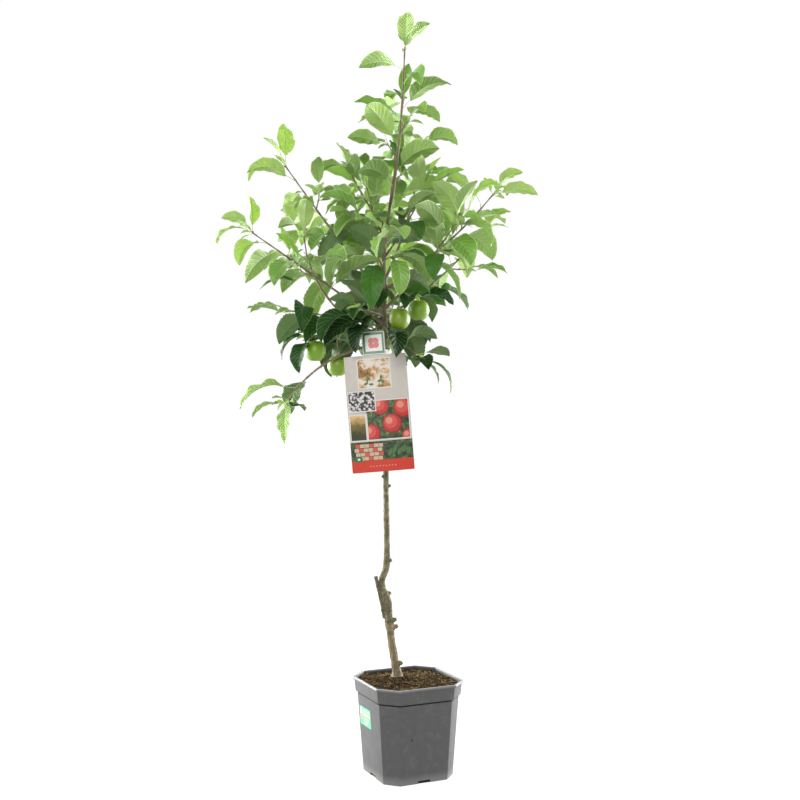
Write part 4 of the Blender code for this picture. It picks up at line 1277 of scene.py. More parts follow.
class LeafGrid:
    """Rows from stalk to tip and columns from edge to edge of a blade, with its lists of faces."""

    def __init__(self, veins, sides, strips):
        step = 0.86 / veins
        starts, is_vein = [0.0], [False]
        for i in range(veins):
            at = 0.05 + step * (i + 0.35)
            starts += [at - VEIN_HALF, at + VEIN_HALF] if strips else [at]
            is_vein += [True, False] if strips else [False]
            for part in strips:
                starts.append(at + step * part)
                is_vein.append(False)
        self.starts = np.array([*starts, 1.0])
        self.is_vein = is_vein
        self.sides = np.array([-s for s in reversed(sides)] + [0.0] + list(sides))
        rows, columns = len(self.starts), len(self.sides)
        start, side = np.meshgrid(self.starts, self.sides, indexing="ij")
        reach = np.abs(side)
        self.along = start + VEIN_SLANT * reach * np.sin(np.pi * start)
        edge = start + VEIN_SLANT * np.sin(np.pi * start)
        places, widths = zip(*LEAF_OUTLINE)
        self.across = side * np.interp(edge, places, widths)
        teeth = np.where(np.arange(rows) % 2 == 0, 1.035, 0.965)[:, None]
        self.across = np.where(reach == 1.0, self.across * teeth, self.across)
        swell = np.array([-0.35 if vein else 0.0 for vein in [*is_vein, False]])
        for i, vein in enumerate(is_vein):
            if vein:
                swell[i + 1] = -0.35
                swell[i + 2 : i + 2 + len(strips)] = 0.65
        self.swell = swell[:, None] * 4 * reach * (1 - reach) ** 0.7
        self.side, self.reach = side, reach
        self.rows, self.columns = rows, columns
        self.build_faces()

    def build_faces(self):
        """The upper faces, then the underside's, which share the points of the edge."""
        rows, columns = self.rows, self.columns
        top = np.arange(rows * columns).reshape(rows, columns)
        inner = np.ones((rows, columns), bool)
        inner[[0, -1], :] = inner[:, [0, -1]] = False
        self.inner = inner
        under = top.copy()
        under[inner] = rows * columns + np.arange(inner.sum())
        self.faces, self.kinds = [], []
        middle = (columns - 1) // 2
        for r in range(rows - 1):
            for c in range(columns - 1):
                a, b, d, e = top[r, c], top[r + 1, c], top[r + 1, c + 1], top[r, c + 1]
                rib = c in (middle - 1, middle) or self.is_vein[r]
                # The outermost strip is the edge, whose pale green is a painted highlight.
                edge = columns > 8 and c in (0, columns - 2)
                self.faces.append((a, b, d, e))
                self.kinds.append(4 if edge else 1 if rib else 0)
                a, b, d, e = under[r, c], under[r + 1, c], under[r + 1, c + 1], under[r, c + 1]
                self.faces.append((a, e, d, b))
                self.kinds.append(4 if edge else 3 if rib else 2)
        self.kinds = np.array(self.kinds)


FINE_GRID = LeafGrid(9, (0.035, 0.34, 0.68, 0.945, 1.0), (0.37, 0.68))
SMALL_GRID = LeafGrid(9, (0.05, 0.50, 1.0), ())
print("a full leaf has", 2 * len(FINE_GRID.faces), "triangles and a small one", 2 * len(SMALL_GRID.faces))

# %% Bend the grid along a leaf's middle line
def spine_rows(spine, along):
    """Points, ways and side directions of a spine at these shares of its length."""
    shares = np.linspace(0, 1, len(spine))
    found = []
    for part in range(3):
        values = np.array([row[part] for row in spine])
        found.append(np.stack([np.interp(along, shares, values[:, axis]) for axis in range(3)], axis=-1))
    return found


def blade(leaf, spine, grid, rng):
    """Points of one leaf's two surfaces."""
    point, way, side = spine_rows(spine, grid.along)
    up = np.cross(way, side)
    up /= np.linalg.norm(up, axis=-1, keepdims=True)
    half = leaf["width"] / 2
    fold = math.radians(leaf["fold"])
    size = leaf["length"] / BLADE_LENGTH
    across = grid.across * half
    rib = np.minimum(np.abs(across), (0.0011 - 0.0008 * grid.along) * size + 0.0001)
    middle = (grid.columns - 1) // 2
    for column, sign in ((middle - 1, -1), (middle + 1, 1)):
        across[:, column] = sign * rib[:, column]
    opening = np.minimum(1.0, 4 * grid.along)
    raised = np.abs(across) * math.sin(fold) * opening
    raised = raised + grid.swell * 0.0009 * size
    raised[:, middle] -= 0.0003 * size
    waves, phase = rng.uniform(2.2, 4.2), rng.uniform(0, 1)
    other = rng.uniform(0.3, 0.7)
    turn = 2 * math.pi * (waves * grid.along + phase + np.where(grid.side > 0, other, 0.0))
    depth = rng.uniform(0.0010, 0.0030) * size
    raised += depth * grid.reach**2 * np.sin(turn) * np.sin(np.pi * np.clip(grid.along, 0, 1)) ** 0.5
    raised -= rng.uniform(-0.02, 0.10) * half * grid.reach**2
    surface = point + side * (across * math.cos(fold))[..., None] + up * raised[..., None]
    ridge = np.where(grid.reach < 0.06, 0.0005, 0.0) * size + np.where(grid.swell < 0, 0.0002, 0.0)
    under = surface - up * (LEAF_THICKNESS + ridge)[..., None]
    return np.concatenate([surface.reshape(-1, 3), under[grid.inner]])


def petiole(leaf, spine, shoot_way, sides=6, rings=6):
    """The stalk: a thin tube that leaves the shoot, thickest there, and bends into the midrib."""
    root, top = leaf["root"], spine[0][0]
    reach = (top - root).length
    bend = (root + shoot_way * reach * 0.35).lerp(top - spine[0][1] * reach * 0.45, 0.5)
    end = top + spine[0][1] * 0.002
    points, radii = [], []
    for i in range(rings + 1):
        t = i / rings
        points.append(root * (1 - t) ** 2 + bend * 2 * t * (1 - t) + end * t**2)
        plain = blend(PETIOLE_RADIUS * 1.15, PETIOLE_RADIUS * 0.75, min(1, t * 1.5))
        radii.append(plain + 0.0006 * (1 - t) ** 8)
    return tube(points, radii, sides)


print("grids bend to any leaf")

# %% [markdown]
# Each place on a shoot holds more than its big leaf. A bud sits in the leaf's armpit, sometimes with one
# or two small leaves of its own, and the very tip of a shoot ends in two or three young, pale, folded
# leaves. They are small, so that they stay inside the reach of the CAD model's mass. A leaf's green
# is painted light and shade by its place: darker greens in the core of the crown are painted shade,
# and brighter ones where the sky reaches it are painted light.

# %% Heap up the leaves
TOP_TINTS, VEIN_TINTS, EDGE_TINTS, UNDER_TINTS = 7, 2, 2, 3
YOUNG_TINT = TOP_TINTS - 1
FIRST_VEIN = TOP_TINTS
FIRST_EDGE = FIRST_VEIN + VEIN_TINTS
FIRST_UNDER = FIRST_EDGE + EDGE_TINTS
STALK_TINT = FIRST_UNDER + UNDER_TINTS
CROWN_MIDDLE = -0.046
HEART_LOW, HEART_HIGH, HEART_FRONT, HEART_REACH = 0.79, 0.99, -0.008, 0.135
LEAF_ROOM = 0.007
SEED_LIMIT = 1 << 30


def leaf_tint(rng, middle):
    """The number of a leaf's green: painted shade near the crown's dark heart, painted light further up, down
    or out from it.
    """
    height = min(1.0, abs(middle.z - 0.86) / 0.30)
    out = min(1.0, math.hypot(middle.x - CROWN_MIDDLE, middle.y) / 0.26)
    light = -0.18 + 0.76 * height + 0.54 * out + rng.uniform(-0.17, 0.17)
    return int(max(0.0, min(0.999, light)) * (TOP_TINTS - 1))


def add_leaf(pile, leaf, spine, shoot_way, rng, grid=FINE_GRID, tint=None):
    """Heaps one leaf with its stalk, each face in the green that suits its kind."""
    # The tint paints light and shade on the leaf by its place; its veins, edge and underside take matching
    # copies.
    tint = leaf_tint(rng, spine[6][0]) if tint is None else tint
    vein = FIRST_VEIN + (1 if tint > 2 else 0)
    edge = FIRST_EDGE + (1 if tint > 2 else 0)
    under = FIRST_UNDER + min(UNDER_TINTS - 1, int(tint * UNDER_TINTS / TOP_TINTS))
    kinds = np.array([tint, vein, under, vein, edge])[grid.kinds]
    pile.add(blade(leaf, spine, grid, rng), grid.faces, kinds)
    small = grid is not FINE_GRID
    stalk = petiole(leaf, spine, shoot_way, 5 if small else 6, 4 if small else 6)
    pile.add(*stalk, STALK_TINT)


def small_leaf(rng, root, way, turn, length, spread):
    """A small leaf near an axil, or a young one at a tip."""
    leaf = leaf_at(rng.randrange(SEED_LIMIT), root, way, turn, spread, 0.4)
    leaf["length"], leaf["width"] = length, length * rng.uniform(0.40, 0.52)
    leaf["stalk"] = length * rng.uniform(0.15, 0.30)
    leaf["droop"] *= 0.7
    return leaf


def hanging_leaf(rng, root, way, turn):
    """A grown leaf on the far side of a shoot. It hangs behind the stem, in the dark heart of the crown."""
    seed, spread, size = rng.randrange(SEED_LIMIT), rng.uniform(62, 88), rng.uniform(0.66, 0.84)
    leaf = leaf_at(seed, root, way, turn + 160, spread, size)
    spine = leaf_spine(leaf)
    within = all(
        HEART_LOW < p.z < HEART_HIGH and p.y > HEART_FRONT and abs(p.x - CROWN_MIDDLE) < HEART_REACH
        for p in (spine[6][0], spine[-1][0])
    )
    line = np.array([row[0] for row in spine])
    near = min(np.linalg.norm(line[:, None] - other[None], axis=2).min() for other in spines_so_far)
    if not within or near < LEAF_ROOM:
        return None
    spines_so_far.append(line)
    return leaf, spine


spines_so_far = [np.array([row[0] for row in spine]) for leaves in crown.values() for _, spine, _ in leaves]
hung = 0
GROUPS = {
    "foliage_top": ["leader", "upper_left", "upper_right", "upper_front", "upper_back"],
    "foliage_right": ["right", "right_front", "right_back", "back_high", "back", "front"],
    "foliage_left": ["left_low", "left_high", "left_front", "low", "left_back", "thin_left"],
    "foliage_core": ["fruit_front", "fruit_left", "fruit_back", "inner_right", "inner_front", "inner_back"],
}
leaf_piles = {group: Pile() for group in GROUPS}
for group, names in GROUPS.items():
    pile = leaf_piles[group]
    for name in names:
        rng = random.Random(len(name) * 7 + ord(name[0]))
        stem, spurs, _ = plans[name]
        for leaf, spine, (root, way, turn, _, _) in crown[name]:
            add_leaf(pile, leaf, spine, way, rng)
            for _ in range(4 if group != "foliage_top" else 0):
                found = hanging_leaf(rng, root, way, turn)
                if found:
                    add_leaf(pile, *found, way, rng)
                    hung += 1
                    break
            if rng.random() < 0.42:
                length = rng.uniform(0.018, 0.036)
                extra = small_leaf(rng, root, way, turn + rng.uniform(-50, 50), length, 58)
                add_leaf(pile, extra, leaf_spine(extra), way, rng, SMALL_GRID)
        for shoot in [stem, *spurs]:
            tip, way = point_on(shoot, 1.0)
            for k in range(3 if shoot is stem else 1):
                young = small_leaf(rng, tip, way, DIVERGENCE * k, rng.uniform(0.016, 0.032), 16)
                young["roll"] *= 0.3
                young["fold"] = 46
                add_leaf(pile, young, leaf_spine(young), way, rng, SMALL_GRID, YOUNG_TINT)
    print(group, "heaped")
print(hung, "more leaves hang in the heart of the crown")

# %% The greens
def leaf_green(name, deep, light, gloss, glow_colour, share=0.28, sheen=0.5):
    """A leaf's surface: blotches of two greens, a waxy sheen, and light that comes through the blade."""
    return finish(
        name,
        lambda place: place.noise(85.0, 3.0, 0.6).mix(deep, light),
        lambda place: place.noise(240.0, 2.0) * 0.16 + gloss,
        lambda place: place.noise(700.0, 2.0),
        0.00006,
        (share, glow_colour),
        **{"Specular IOR Level": sheen},
    )


# Painted light and shade: the first six are lit and shaded copies of the leaf's green, from deep shade in the
# crown's core to full light outside it. The last is the real pale green of young leaves.
GREENS = [
    ("core green", rgb(0.003, 0.020, 0.004), rgb(0.007, 0.036, 0.007)),
    ("shade green", rgb(0.008, 0.042, 0.006), rgb(0.018, 0.078, 0.012)),
    ("deep green", rgb(0.030, 0.112, 0.013), rgb(0.062, 0.190, 0.022)),
    ("full green", rgb(0.110, 0.250, 0.034), rgb(0.180, 0.360, 0.054)),
    ("bright green", rgb(0.175, 0.350, 0.052), rgb(0.265, 0.470, 0.085)),
    ("sunny green", rgb(0.250, 0.440, 0.080), rgb(0.355, 0.555, 0.130)),
    ("young green", rgb(0.380, 0.560, 0.140), rgb(0.500, 0.660, 0.210)),
]
# The underside's own paler green, in copies for painted shade, half light and painted light.
UNDERSIDES = [
    ("shaded underside", rgb(0.100, 0.175, 0.055), rgb(0.145, 0.230, 0.075)),
    ("underside", rgb(0.190, 0.300, 0.090), rgb(0.260, 0.380, 0.125)),
    ("sunny underside", rgb(0.290, 0.420, 0.140), rgb(0.370, 0.510, 0.185)),
]
leaf_finishes = []
for number, (name, deep, light) in enumerate(GREENS):
    sheen = 0.22 if number < 3 else 0.5
    through = rgb(min(1.0, light[0] * 2.4), min(1.0, light[1] * 1.9), light[2] * 1.5)
    leaf_finishes.append(leaf_green(name, deep, light, 0.32, through, sheen=sheen))
# The veins' own paler green, in a copy for leaves in painted shade and one for leaves in painted light.
for name, deep, light in (
    ("vein in shade", rgb(0.085, 0.155, 0.040), rgb(0.115, 0.195, 0.055)),
    ("vein", rgb(0.330, 0.450, 0.160), rgb(0.400, 0.520, 0.200)),
):
    leaf_finishes.append(leaf_green(name, deep, light, 0.42, light, 0.20))
# The edge's pale green is a painted highlight, with a dimmer copy for leaves in painted shade.
for name, deep, light in (
    ("leaf edge in shade", rgb(0.090, 0.170, 0.050), rgb(0.130, 0.220, 0.075)),
    ("leaf edge", rgb(0.440, 0.540, 0.250), rgb(0.540, 0.630, 0.340)),
):
    leaf_finishes.append(leaf_green(name, deep, light, 0.55, light, 0.30))
for name, deep, light in UNDERSIDES:
    through = rgb(min(1.0, light[0] * 1.4), min(1.0, light[1] * 1.4), light[2] * 0.7)
    leaf_finishes.append(leaf_green(name, deep, light, 0.62, through))
leaf_finishes.append(finish("leaf stalk", uneven((0.27, 0.36, 0.11), (0.36, 0.42, 0.16), 60.0), 0.5))
for group, names in GROUPS.items():
    piece = leaf_piles[group].make(group, leaf_finishes)
    shade_by_angle(piece, 75)
    dress(piece, "foliage", *["leaves_" + name for name in names])

# %% [markdown]
# A young apple shoot is red-brown and downy, turns green towards its tip, swells where each leaf stands,
# and carries a small bud there. A shoot's radius falls evenly from its foot to its tip, with a soft bump
# added near each leaf, and tubes of ten sides make it round.

# %% Shoots, buds and finer twigs
WOODY, GREENISH, BUD = 0, 1, 2


def bumpy_tube(line, foot, tip, nodes, sides, steps):
    """A tube along a line that swells at each of the node shares."""
    fine = part_line(line, 0.0, 1.0, steps)
    radii = []
    for i in range(steps + 1):
        at = i / steps
        bump = sum(math.exp(-(((at - node) * 26) ** 2)) for node in nodes)
        radii.append(blend(foot, tip, at) + 0.00055 * min(1.0, bump))
    return tube(fine, radii, sides)


def bud(root, out, way, size):
    """A pointed bud that leans against the shoot."""
    ahead = (out * 0.45 + way * 0.9).normalized()
    line = [root + ahead * size * share for share in (0.0, 0.3, 0.6, 0.85, 1.0)]
    return tube(line, [size * share for share in (0.30, 0.36, 0.30, 0.17, 0.04)], 8)


def shares_of(shoot, roots):
    """Where these points sit along a shoot, as shares of its length."""
    fine = part_line(shoot, 0.0, 1.0, 60)
    found = []
    for root in roots:
        distances = [(root - point).length for point in fine]
        if min(distances) < 0.004:
            found.append(distances.index(min(distances)) / 60)
    return found


twig_pile = Pile()
for name, (stem, spurs, _) in plans.items():
    rng = random.Random(len(name) + 40)
    roots = [place[0] for _, _, place in crown[name]]
    shoots = [(stem, stems[name][1], 60)]
    shoots += [(spur, SHOOT_TIP_RADIUS * 1.4, 18) for spur in spurs]
    for shoot, shoot_foot, steps in shoots:
        nodes = shares_of(shoot, roots)
        twig_pile.add(*bumpy_tube(shoot, shoot_foot, SHOOT_TIP_RADIUS, nodes, 10, steps), WOODY)
        tip, way = point_on(shoot, 1.0)
        line = [tip + way * reach for reach in (-0.012, -0.004, 0.002, 0.005)]
        twig_pile.add(*tube(line, [0.00118, 0.00125, 0.0010, 0.0003], 10), GREENISH)
    for _, spine, (root, way, turn, _, _) in crown[name]:
        out = spine[0][0] - root
        out = (out - way * out.dot(way)).normalized()
        twig_pile.add(*bud(root + out * 0.0010 + way * 0.001, out, way, rng.uniform(0.0028, 0.0048)), BUD)
print("twigs heaped")

# %% Make the twigs
def shoot_colour(place):
    downy = place.noise(420.0, 4.0, 0.7)
    patches = place.noise(38.0, 3.0).above(0.52, 0.12)
    brown = downy.mix(rgb(0.065, 0.034, 0.022), rgb(0.170, 0.105, 0.066))
    green = downy.mix(rgb(0.120, 0.130, 0.045), rgb(0.210, 0.220, 0.090))
    return (patches * 0.5).mix(brown, green)


twigs = twig_pile.make(
    "twigs",
    [
        finish("young shoot", shoot_colour, 0.62, lambda place: place.noise(900.0, 3.0), 0.0003),
        finish("shoot tip", uneven((0.17, 0.24, 0.07), (0.26, 0.33, 0.11), 90.0), 0.6),
        finish("bud scale", uneven((0.16, 0.09, 0.05), (0.30, 0.19, 0.11), 500.0), 0.6),
    ],
)
dress(twigs, "young_bark")

# %% [markdown]
# The boughs are smoother than the trunk, with a swollen collar where each one leaves it, faint rings of
# old bud scars and a scatter of pale breathing pores. They are heaped as tubes and melted and roughened
# the same way, but each stays its own limb: a collar stops just short of the trunk's skin.

# %% The boughs
BOUGH_VOXEL = 0.00075
SCAR_RINGS = (0.042, 0.046, 0.083, 0.087)


def bough_radius(at, limb):
    """The taper of a bough at a share of its bare stretch, with its collar and bud scar rings."""
    plain = blend(BOUGH_FOOT_RADIUS, BOUGH_TIP_RADIUS, at)
    along = at * limb["bare"] * limb["length"]
    collar = 0.0016 * math.exp(-((along / 0.011) ** 2))
    scars = 0.00035 * sum(math.exp(-(((along - ring) / 0.0016) ** 2)) for ring in SCAR_RINGS)
    return plain + collar + scars


def smooth_bark(point):
    """Faint wrinkles, and pores that stand up a little."""
    wrinkles = noise.noise(Vector((point.x * 240, point.y * 240, point.z * 240)))
    pores = max(0.0, noise.noise(point * 900) - 0.35)
    return 0.00016 * wrinkles + 0.00045 * pores


bough_pile = Pile()
for name, limb in BOUGHS.items():
    line = part_line(limb_line(limb), 0.0, limb["bare"], 40)
    clear = trunk_at(limb["height"])[1] * 0.55
    start = next(i for i, point in enumerate(line) if (point - line[0]).length > clear)
    radii = [bough_radius(i / 40, limb) for i in range(41)]
    bough_pile.add(*tube(line[start:], radii[start:], 14))
boughs_bark = bough_pile.make("boughs_bark", [])
melt(boughs_bark, BOUGH_VOXEL)
roughen(boughs_bark, smooth_bark)


def bough_colour(place):
    grain = place.noise(150.0, 4.0, 0.65)
    pores = (1 - place.cells(330.0).above(0.16, 0.08)) * 0.7
    base = grain.mix(rgb(0.075, 0.052, 0.030), rgb(0.215, 0.165, 0.098))
    return pores.mix(base, rgb(0.360, 0.310, 0.220))


boughs_bark.data.materials.clear()
boughs_bark.data.materials.append(
    finish("bough bark", bough_colour, 0.6, lambda place: place.noise(700.0, 4.0, 0.6), 0.0004)
)
dress(boughs_bark, "young_bark", *["bough_" + name for name in BOUGHS])
print("boughs have", len(boughs_bark.data.polygons), "faces")

# %% [markdown]
# The apples are young and green: a turned outline with a dimple round the stalk and a shallow basin at
# the other end, where the dried flower still shows as a crown of five dark points. Real apples are
# never quite round, so each is squeezed a little by five soft ribs.

# %% The apples
APPLE_RADIUS, STALK_RADIUS = 0.0212, 0.0009
APPLES = (
    ("fruit_front", 0.66, (-0.0167, -0.060, 0.9123)),
    ("fruit_front", 0.92, (0.0220, -0.030, 0.9322)),
    ("fruit_left", 0.94, (-0.1851, -0.030, 0.8503)),
    ("fruit_left", 0.66, (-0.1430, 0.012, 0.8220)),
    ("fruit_back", 0.90, (-0.0080, 0.092, 0.8930)),
    ("fruit_back", 0.55, (-0.0460, 0.058, 0.8820)),
)
APPLE_OUTLINE = (
    (0.02, 0.56), (0.10, 0.66), (0.22, 0.84), (0.42, 0.93), (0.64, 0.86), (0.84, 0.62), (0.96, 0.34),
    (1.00, 0.08), (0.98, -0.20), (0.88, -0.48), (0.71, -0.73), (0.50, -0.90), (0.32, -0.93), (0.18, -0.87),
    (0.06, -0.80),
)
SKIN, CALYX, STALK = 0, 1, 2


def apple_rings(centre, turn):
    """An apple's outline turned about its core, squeezed by the ribs."""
    rings = []
    for radius, z in reversed(smooth_through(APPLE_OUTLINE, 30)):
        ring = []
        for k in range(36):
            angle = math.tau * k / 36
            ribbed = 1 + 0.018 * math.cos(5 * angle + turn) * (0.4 - z)
            out = Vector((math.cos(angle) * ribbed * radius, math.sin(angle) * ribbed * radius, z))
            ring.append(centre + out * APPLE_RADIUS)
        rings.append(ring)
    return rings


def sepal(centre, angle):
    """One dried point of the flower, curled out of the basin."""
    out = Vector((math.cos(angle), math.sin(angle), 0))
    foot = centre + Vector((0, 0, -0.83 * APPLE_RADIUS))
    line = [foot, foot + out * 0.0012 - Vector((0, 0, 0.0014)), foot + out * 0.0032 - Vector((0, 0, 0.0019))]
    return tube(line, [0.0010, 0.0009, 0.0002], 6)


apple_pile = Pile()
for number, (spur, share, centre) in enumerate(APPLES):
    centre = Vector(centre)
    apple_pile.add(*stack(apple_rings(centre, number * 1.3)), SKIN)
    for k in range(5):
        apple_pile.add(*sepal(centre, math.tau * k / 5 + number), CALYX)
    start = point_on(stems[spur][0], share)[0]
    top = centre + Vector((0, 0, APPLE_RADIUS * 0.55))
    over = Vector((top.x, top.y, max(start.z, top.z + 0.012)))
    shares = np.linspace(0, 1, 15).tolist()
    line = [start * (1 - t) ** 2 + over * 2 * t * (1 - t) + top * t**2 for t in shares]
    radii = [STALK_RADIUS * (1.0 + 0.5 * (abs(2 * i / 14 - 1)) ** 4) for i in range(15)]
    apple_pile.add(*tube(line, radii, 10), STALK)


def apple_skin(place):
    blush = place.noise(24.0, 3.0).above(0.56, 0.14)
    base = place.noise(70.0, 3.0).mix(rgb(0.080, 0.185, 0.003), rgb(0.155, 0.290, 0.006))
    warm = (blush * 0.30).mix(base, rgb(0.190, 0.210, 0.008))
    spots = (1 - place.cells(420.0).above(0.15, 0.07)) * 0.40
    return spots.mix(warm, rgb(0.280, 0.380, 0.060))


def skin_roughness(place):
    return place.noise(200.0) * 0.10 + 0.38


apples = apple_pile.make(
    "apples",
    [
        finish("apple skin", apple_skin, skin_roughness, **{"Coat Weight": 0.06}),
        finish("dried flower", rgb(0.045, 0.028, 0.016), 0.85),
        finish("apple stalk", uneven((0.16, 0.17, 0.05), (0.25, 0.22, 0.09), 300.0), 0.6),
    ],
)
dress(apples, "foliage")

# %% [markdown]
# The picture label is a printed plastic card with a tab that a strap pulls round the stem. It leans with
# the strap and bows forward. One function gives the point of the card at a distance across and up, so
# the card, its tab and every printed patch share the same bow. Each print is a thin grid a tenth of a
# millimetre above the one it covers, as ink would be, and holds only plain shapes in garden colours.

# %% The card
CARD_FOOT = Vector((-0.0480, -0.0440, 0.6100))
CARD_WIDTH, CARD_HEIGHT, CARD_THICKNESS = 0.124, 0.232, 0.0009
CARD_LEAN, CARD_BOW = 4.6, 0.006
TAB_WIDTH, TAB_HEIGHT = 0.046, 0.048
STRAP_HEIGHT, STRAP_LEVEL = 0.010, 0.850
PRINT_STEP = 0.00009


def card_point(across, up):
    """The point in the middle of the card's thickness, across from its middle and up from its foot."""
    lean = math.radians(CARD_LEAN)
    bow = CARD_BOW * (1 - (2 * across / CARD_WIDTH) ** 2)
    x = across * math.cos(lean) - up * math.sin(lean)
    z = across * math.sin(lean) + up * math.cos(lean)
    back = 0.0 if up < CARD_HEIGHT else (up - CARD_HEIGHT) * 0.12
    return CARD_FOOT + Vector((x, -bow + back, z))


def printed(layer):
    """Points of the card's front, in shares of its width and height, held off it by ink layers."""
    lift = Vector((0, -CARD_THICKNESS / 2 - PRINT_STEP * layer, 0))
    return lambda across, up: card_point((across - 0.5) * CARD_WIDTH, up * CARD_HEIGHT) + lift


def sheet_edge(left, right, low, high, radius, columns, rows, thickness=CARD_THICKNESS):
    """A closed thin sheet with round corners: a grid of points in front and one behind."""
    middle_x, middle_z = (left + right) / 2, (low + high) / 2
    half_x, half_z = (right - left) / 2, (high - low) / 2
    front, back = [], []
    for j in range(rows + 1):
        v = 2 * j / rows - 1
        up = middle_z + v * half_z
        from_corner = max(0.0, abs(v) * half_z - (half_z - radius))
        narrow = radius - math.sqrt(max(0.0, radius**2 - from_corner**2))
        for i in range(columns + 1):
            across = middle_x + (2 * i / columns - 1) * (half_x - narrow)
            point = card_point(across, up)
            front.append(point + Vector((0, -thickness / 2, 0)))
            back.append(point + Vector((0, thickness / 2, 0)))
    wide, layer = columns + 1, len(front)
    faces = []
    for j in range(rows):
        for i in range(columns):
            a = j * wide + i
            faces.append((a, a + 1, a + 1 + wide, a + wide))
            faces.append((layer + a, layer + a + wide, layer + a + 1 + wide, layer + a + 1))
    edge = list(range(wide)) + [j * wide + wide - 1 for j in range(1, rows + 1)]
    edge += [layer - 1 - i for i in range(1, wide)] + [j * wide for j in range(rows - 1, 0, -1)]
    for a, b in zip(edge, edge[1:] + edge[:1]):
        faces.append((b, a, a + layer, b + layer))
    return front + back, faces


card_pile = Pile()
half, tab = CARD_WIDTH / 2, TAB_WIDTH / 2
tab_low, tab_high = CARD_HEIGHT - 0.002, CARD_HEIGHT + TAB_HEIGHT
PLAIN_SHEET, STRAP_COLOUR = 0, 1
card_pile.add(*sheet_edge(-half, half, 0.0, CARD_HEIGHT, 0.0015, 28, 60), PLAIN_SHEET)
card_pile.add(*sheet_edge(-tab, tab, tab_low, tab_high, 0.004, 12, 16, 0.0008), PLAIN_SHEET)

# %% [markdown]
# The strap is a flat band: a half ring behind the stem that runs forward to the tab. Its inner and
# outer loops are joined by rounded edges, eight points to a section.

# %% The strap round the stem
STRAP_THICKNESS = 0.0010


def strap_loop(reach_in):
    """The strap's middle line on one side of its thickness: behind the trunk, and forward to the tab."""
    middle, radius = trunk_at(STRAP_LEVEL)
    reach = radius * 1.10 + CLEARANCE + reach_in
    front = card_point(0.0, STRAP_LEVEL - CARD_FOOT.z)
    ring = [
        Vector((middle.x + reach * math.cos(turn), middle.y + reach * math.sin(turn), STRAP_LEVEL))
        for turn in np.linspace(math.pi, 0, 28).tolist()
    ]
    spread = reach * 0.8
    y = front.y + 0.0012 + (0.0 if reach_in else STRAP_THICKNESS)
    ring.append(Vector((front.x + spread, y, STRAP_LEVEL)))
    ring.append(Vector((front.x - spread, y, STRAP_LEVEL)))
    return ring


inner, outer = strap_loop(0.0), strap_loop(STRAP_THICKNESS)
half_strap = Vector((0, 0, STRAP_HEIGHT / 2))
soft = half_strap * 0.86
section = ((0, -soft), (0, soft), (0.35, half_strap), (0.65, half_strap))
section += ((1, soft), (1, -soft), (0.65, -half_strap), (0.35, -half_strap))
loops = [[p.lerp(q, share) + lift for p, q in zip(inner, outer)] for share, lift in section]
points = [point for loop in loops for point in loop]
wide = len(inner)
faces = []
for j in range(len(loops)):
    n = (j + 1) % len(loops)
    for k in range(wide):
        faces.append((j * wide + k, j * wide + (k + 1) % wide, n * wide + (k + 1) % wide, n * wide + k))
card_pile.add(points, faces, STRAP_COLOUR)
label_card = card_pile.make(
    "label_card",
    [
        finish("label sheet", uneven((0.19, 0.19, 0.165), (0.24, 0.235, 0.21), 50.0), 0.34),
        finish("label strap", uneven((0.58, 0.60, 0.52), (0.66, 0.68, 0.60), 80.0), 0.4),
    ],
)
shade_by_angle(label_card, 40)
dress(label_card, "label", "label")
print("card hangs from", round(CARD_FOOT.z, 3), "to", round(CARD_FOOT.z + CARD_HEIGHT + TAB_HEIGHT, 3))

# %% [markdown]
# The print: a grey linen ground with pictures laid on it, each in a thin white frame, and bands below.
# The pictures are generic garden patterns: big red rosettes on dark leaves, pale petals on a dark ground,
# straw, evening light and a woven basket. A small picture needs shades within its shapes to look like a
# picture, so an ink here is a colour ramp that a noise or a pattern runs through, and the rosettes are
# built from four rounds of ink, each smaller, lighter and moved a little towards the light.

# %% The inks
def ramp(pattern, *stops):
    """The colour that runs through the stops as the pattern goes from 0 to 1."""
    return pattern.node("ValToRGB", {"stops": stops}, {0: pattern})


def upward(place, low, high):
    """0 at this height on the card and 1 at that one."""
    height = Flow(place.tree, place.node("SeparateXYZ", None, {0: place}).socket.node.outputs["Z"])
    return (height - low) / (high - low)


def straw_ink(place):
    return ramp(
        place.noise(42.0) * 0.75 + place.noise(190.0, detail=6.0, roughness=0.7) * 0.55 - 0.15,
        (0.32, (0.046, 0.023, 0.009)),
        (0.41, (0.264, 0.125, 0.030)),
        (0.49, (0.436, 0.277, 0.112)),
        (0.56, (0.554, 0.502, 0.449)),
    )


def petal_ink(place):
    return ramp(
        place.cells(190.0) * 0.7 + place.noise(70.0) * 0.5 - 0.05,
        (0.34, (0.568, 0.541, 0.541)),
        (0.50, (0.396, 0.356, 0.356)),
        (0.58, (0.079, 0.079, 0.063)),
        (0.70, (0.013, 0.017, 0.011)),
    )


def thicket_ink(place):
    return ramp(
        place.noise(120.0, detail=5.0, roughness=0.65),
        (0.36, (0.007, 0.013, 0.007)),
        (0.48, (0.026, 0.050, 0.018)),
        (0.58, (0.066, 0.109, 0.036)),
        (0.70, (0.198, 0.218, 0.073)),
    )


def evening_ink(place):
    low, high = CARD_FOOT.z + 0.30 * CARD_HEIGHT, CARD_FOOT.z + 0.56 * CARD_HEIGHT
    return ramp(
        upward(place, low, high) + place.noise(110.0, detail=5.0) * 0.5 - 0.25,
        (0.05, (0.030, 0.033, 0.008)),
        (0.35, (0.132, 0.099, 0.020)),
        (0.62, (0.528, 0.343, 0.132)),
        (0.88, (0.581, 0.528, 0.449)),
    )


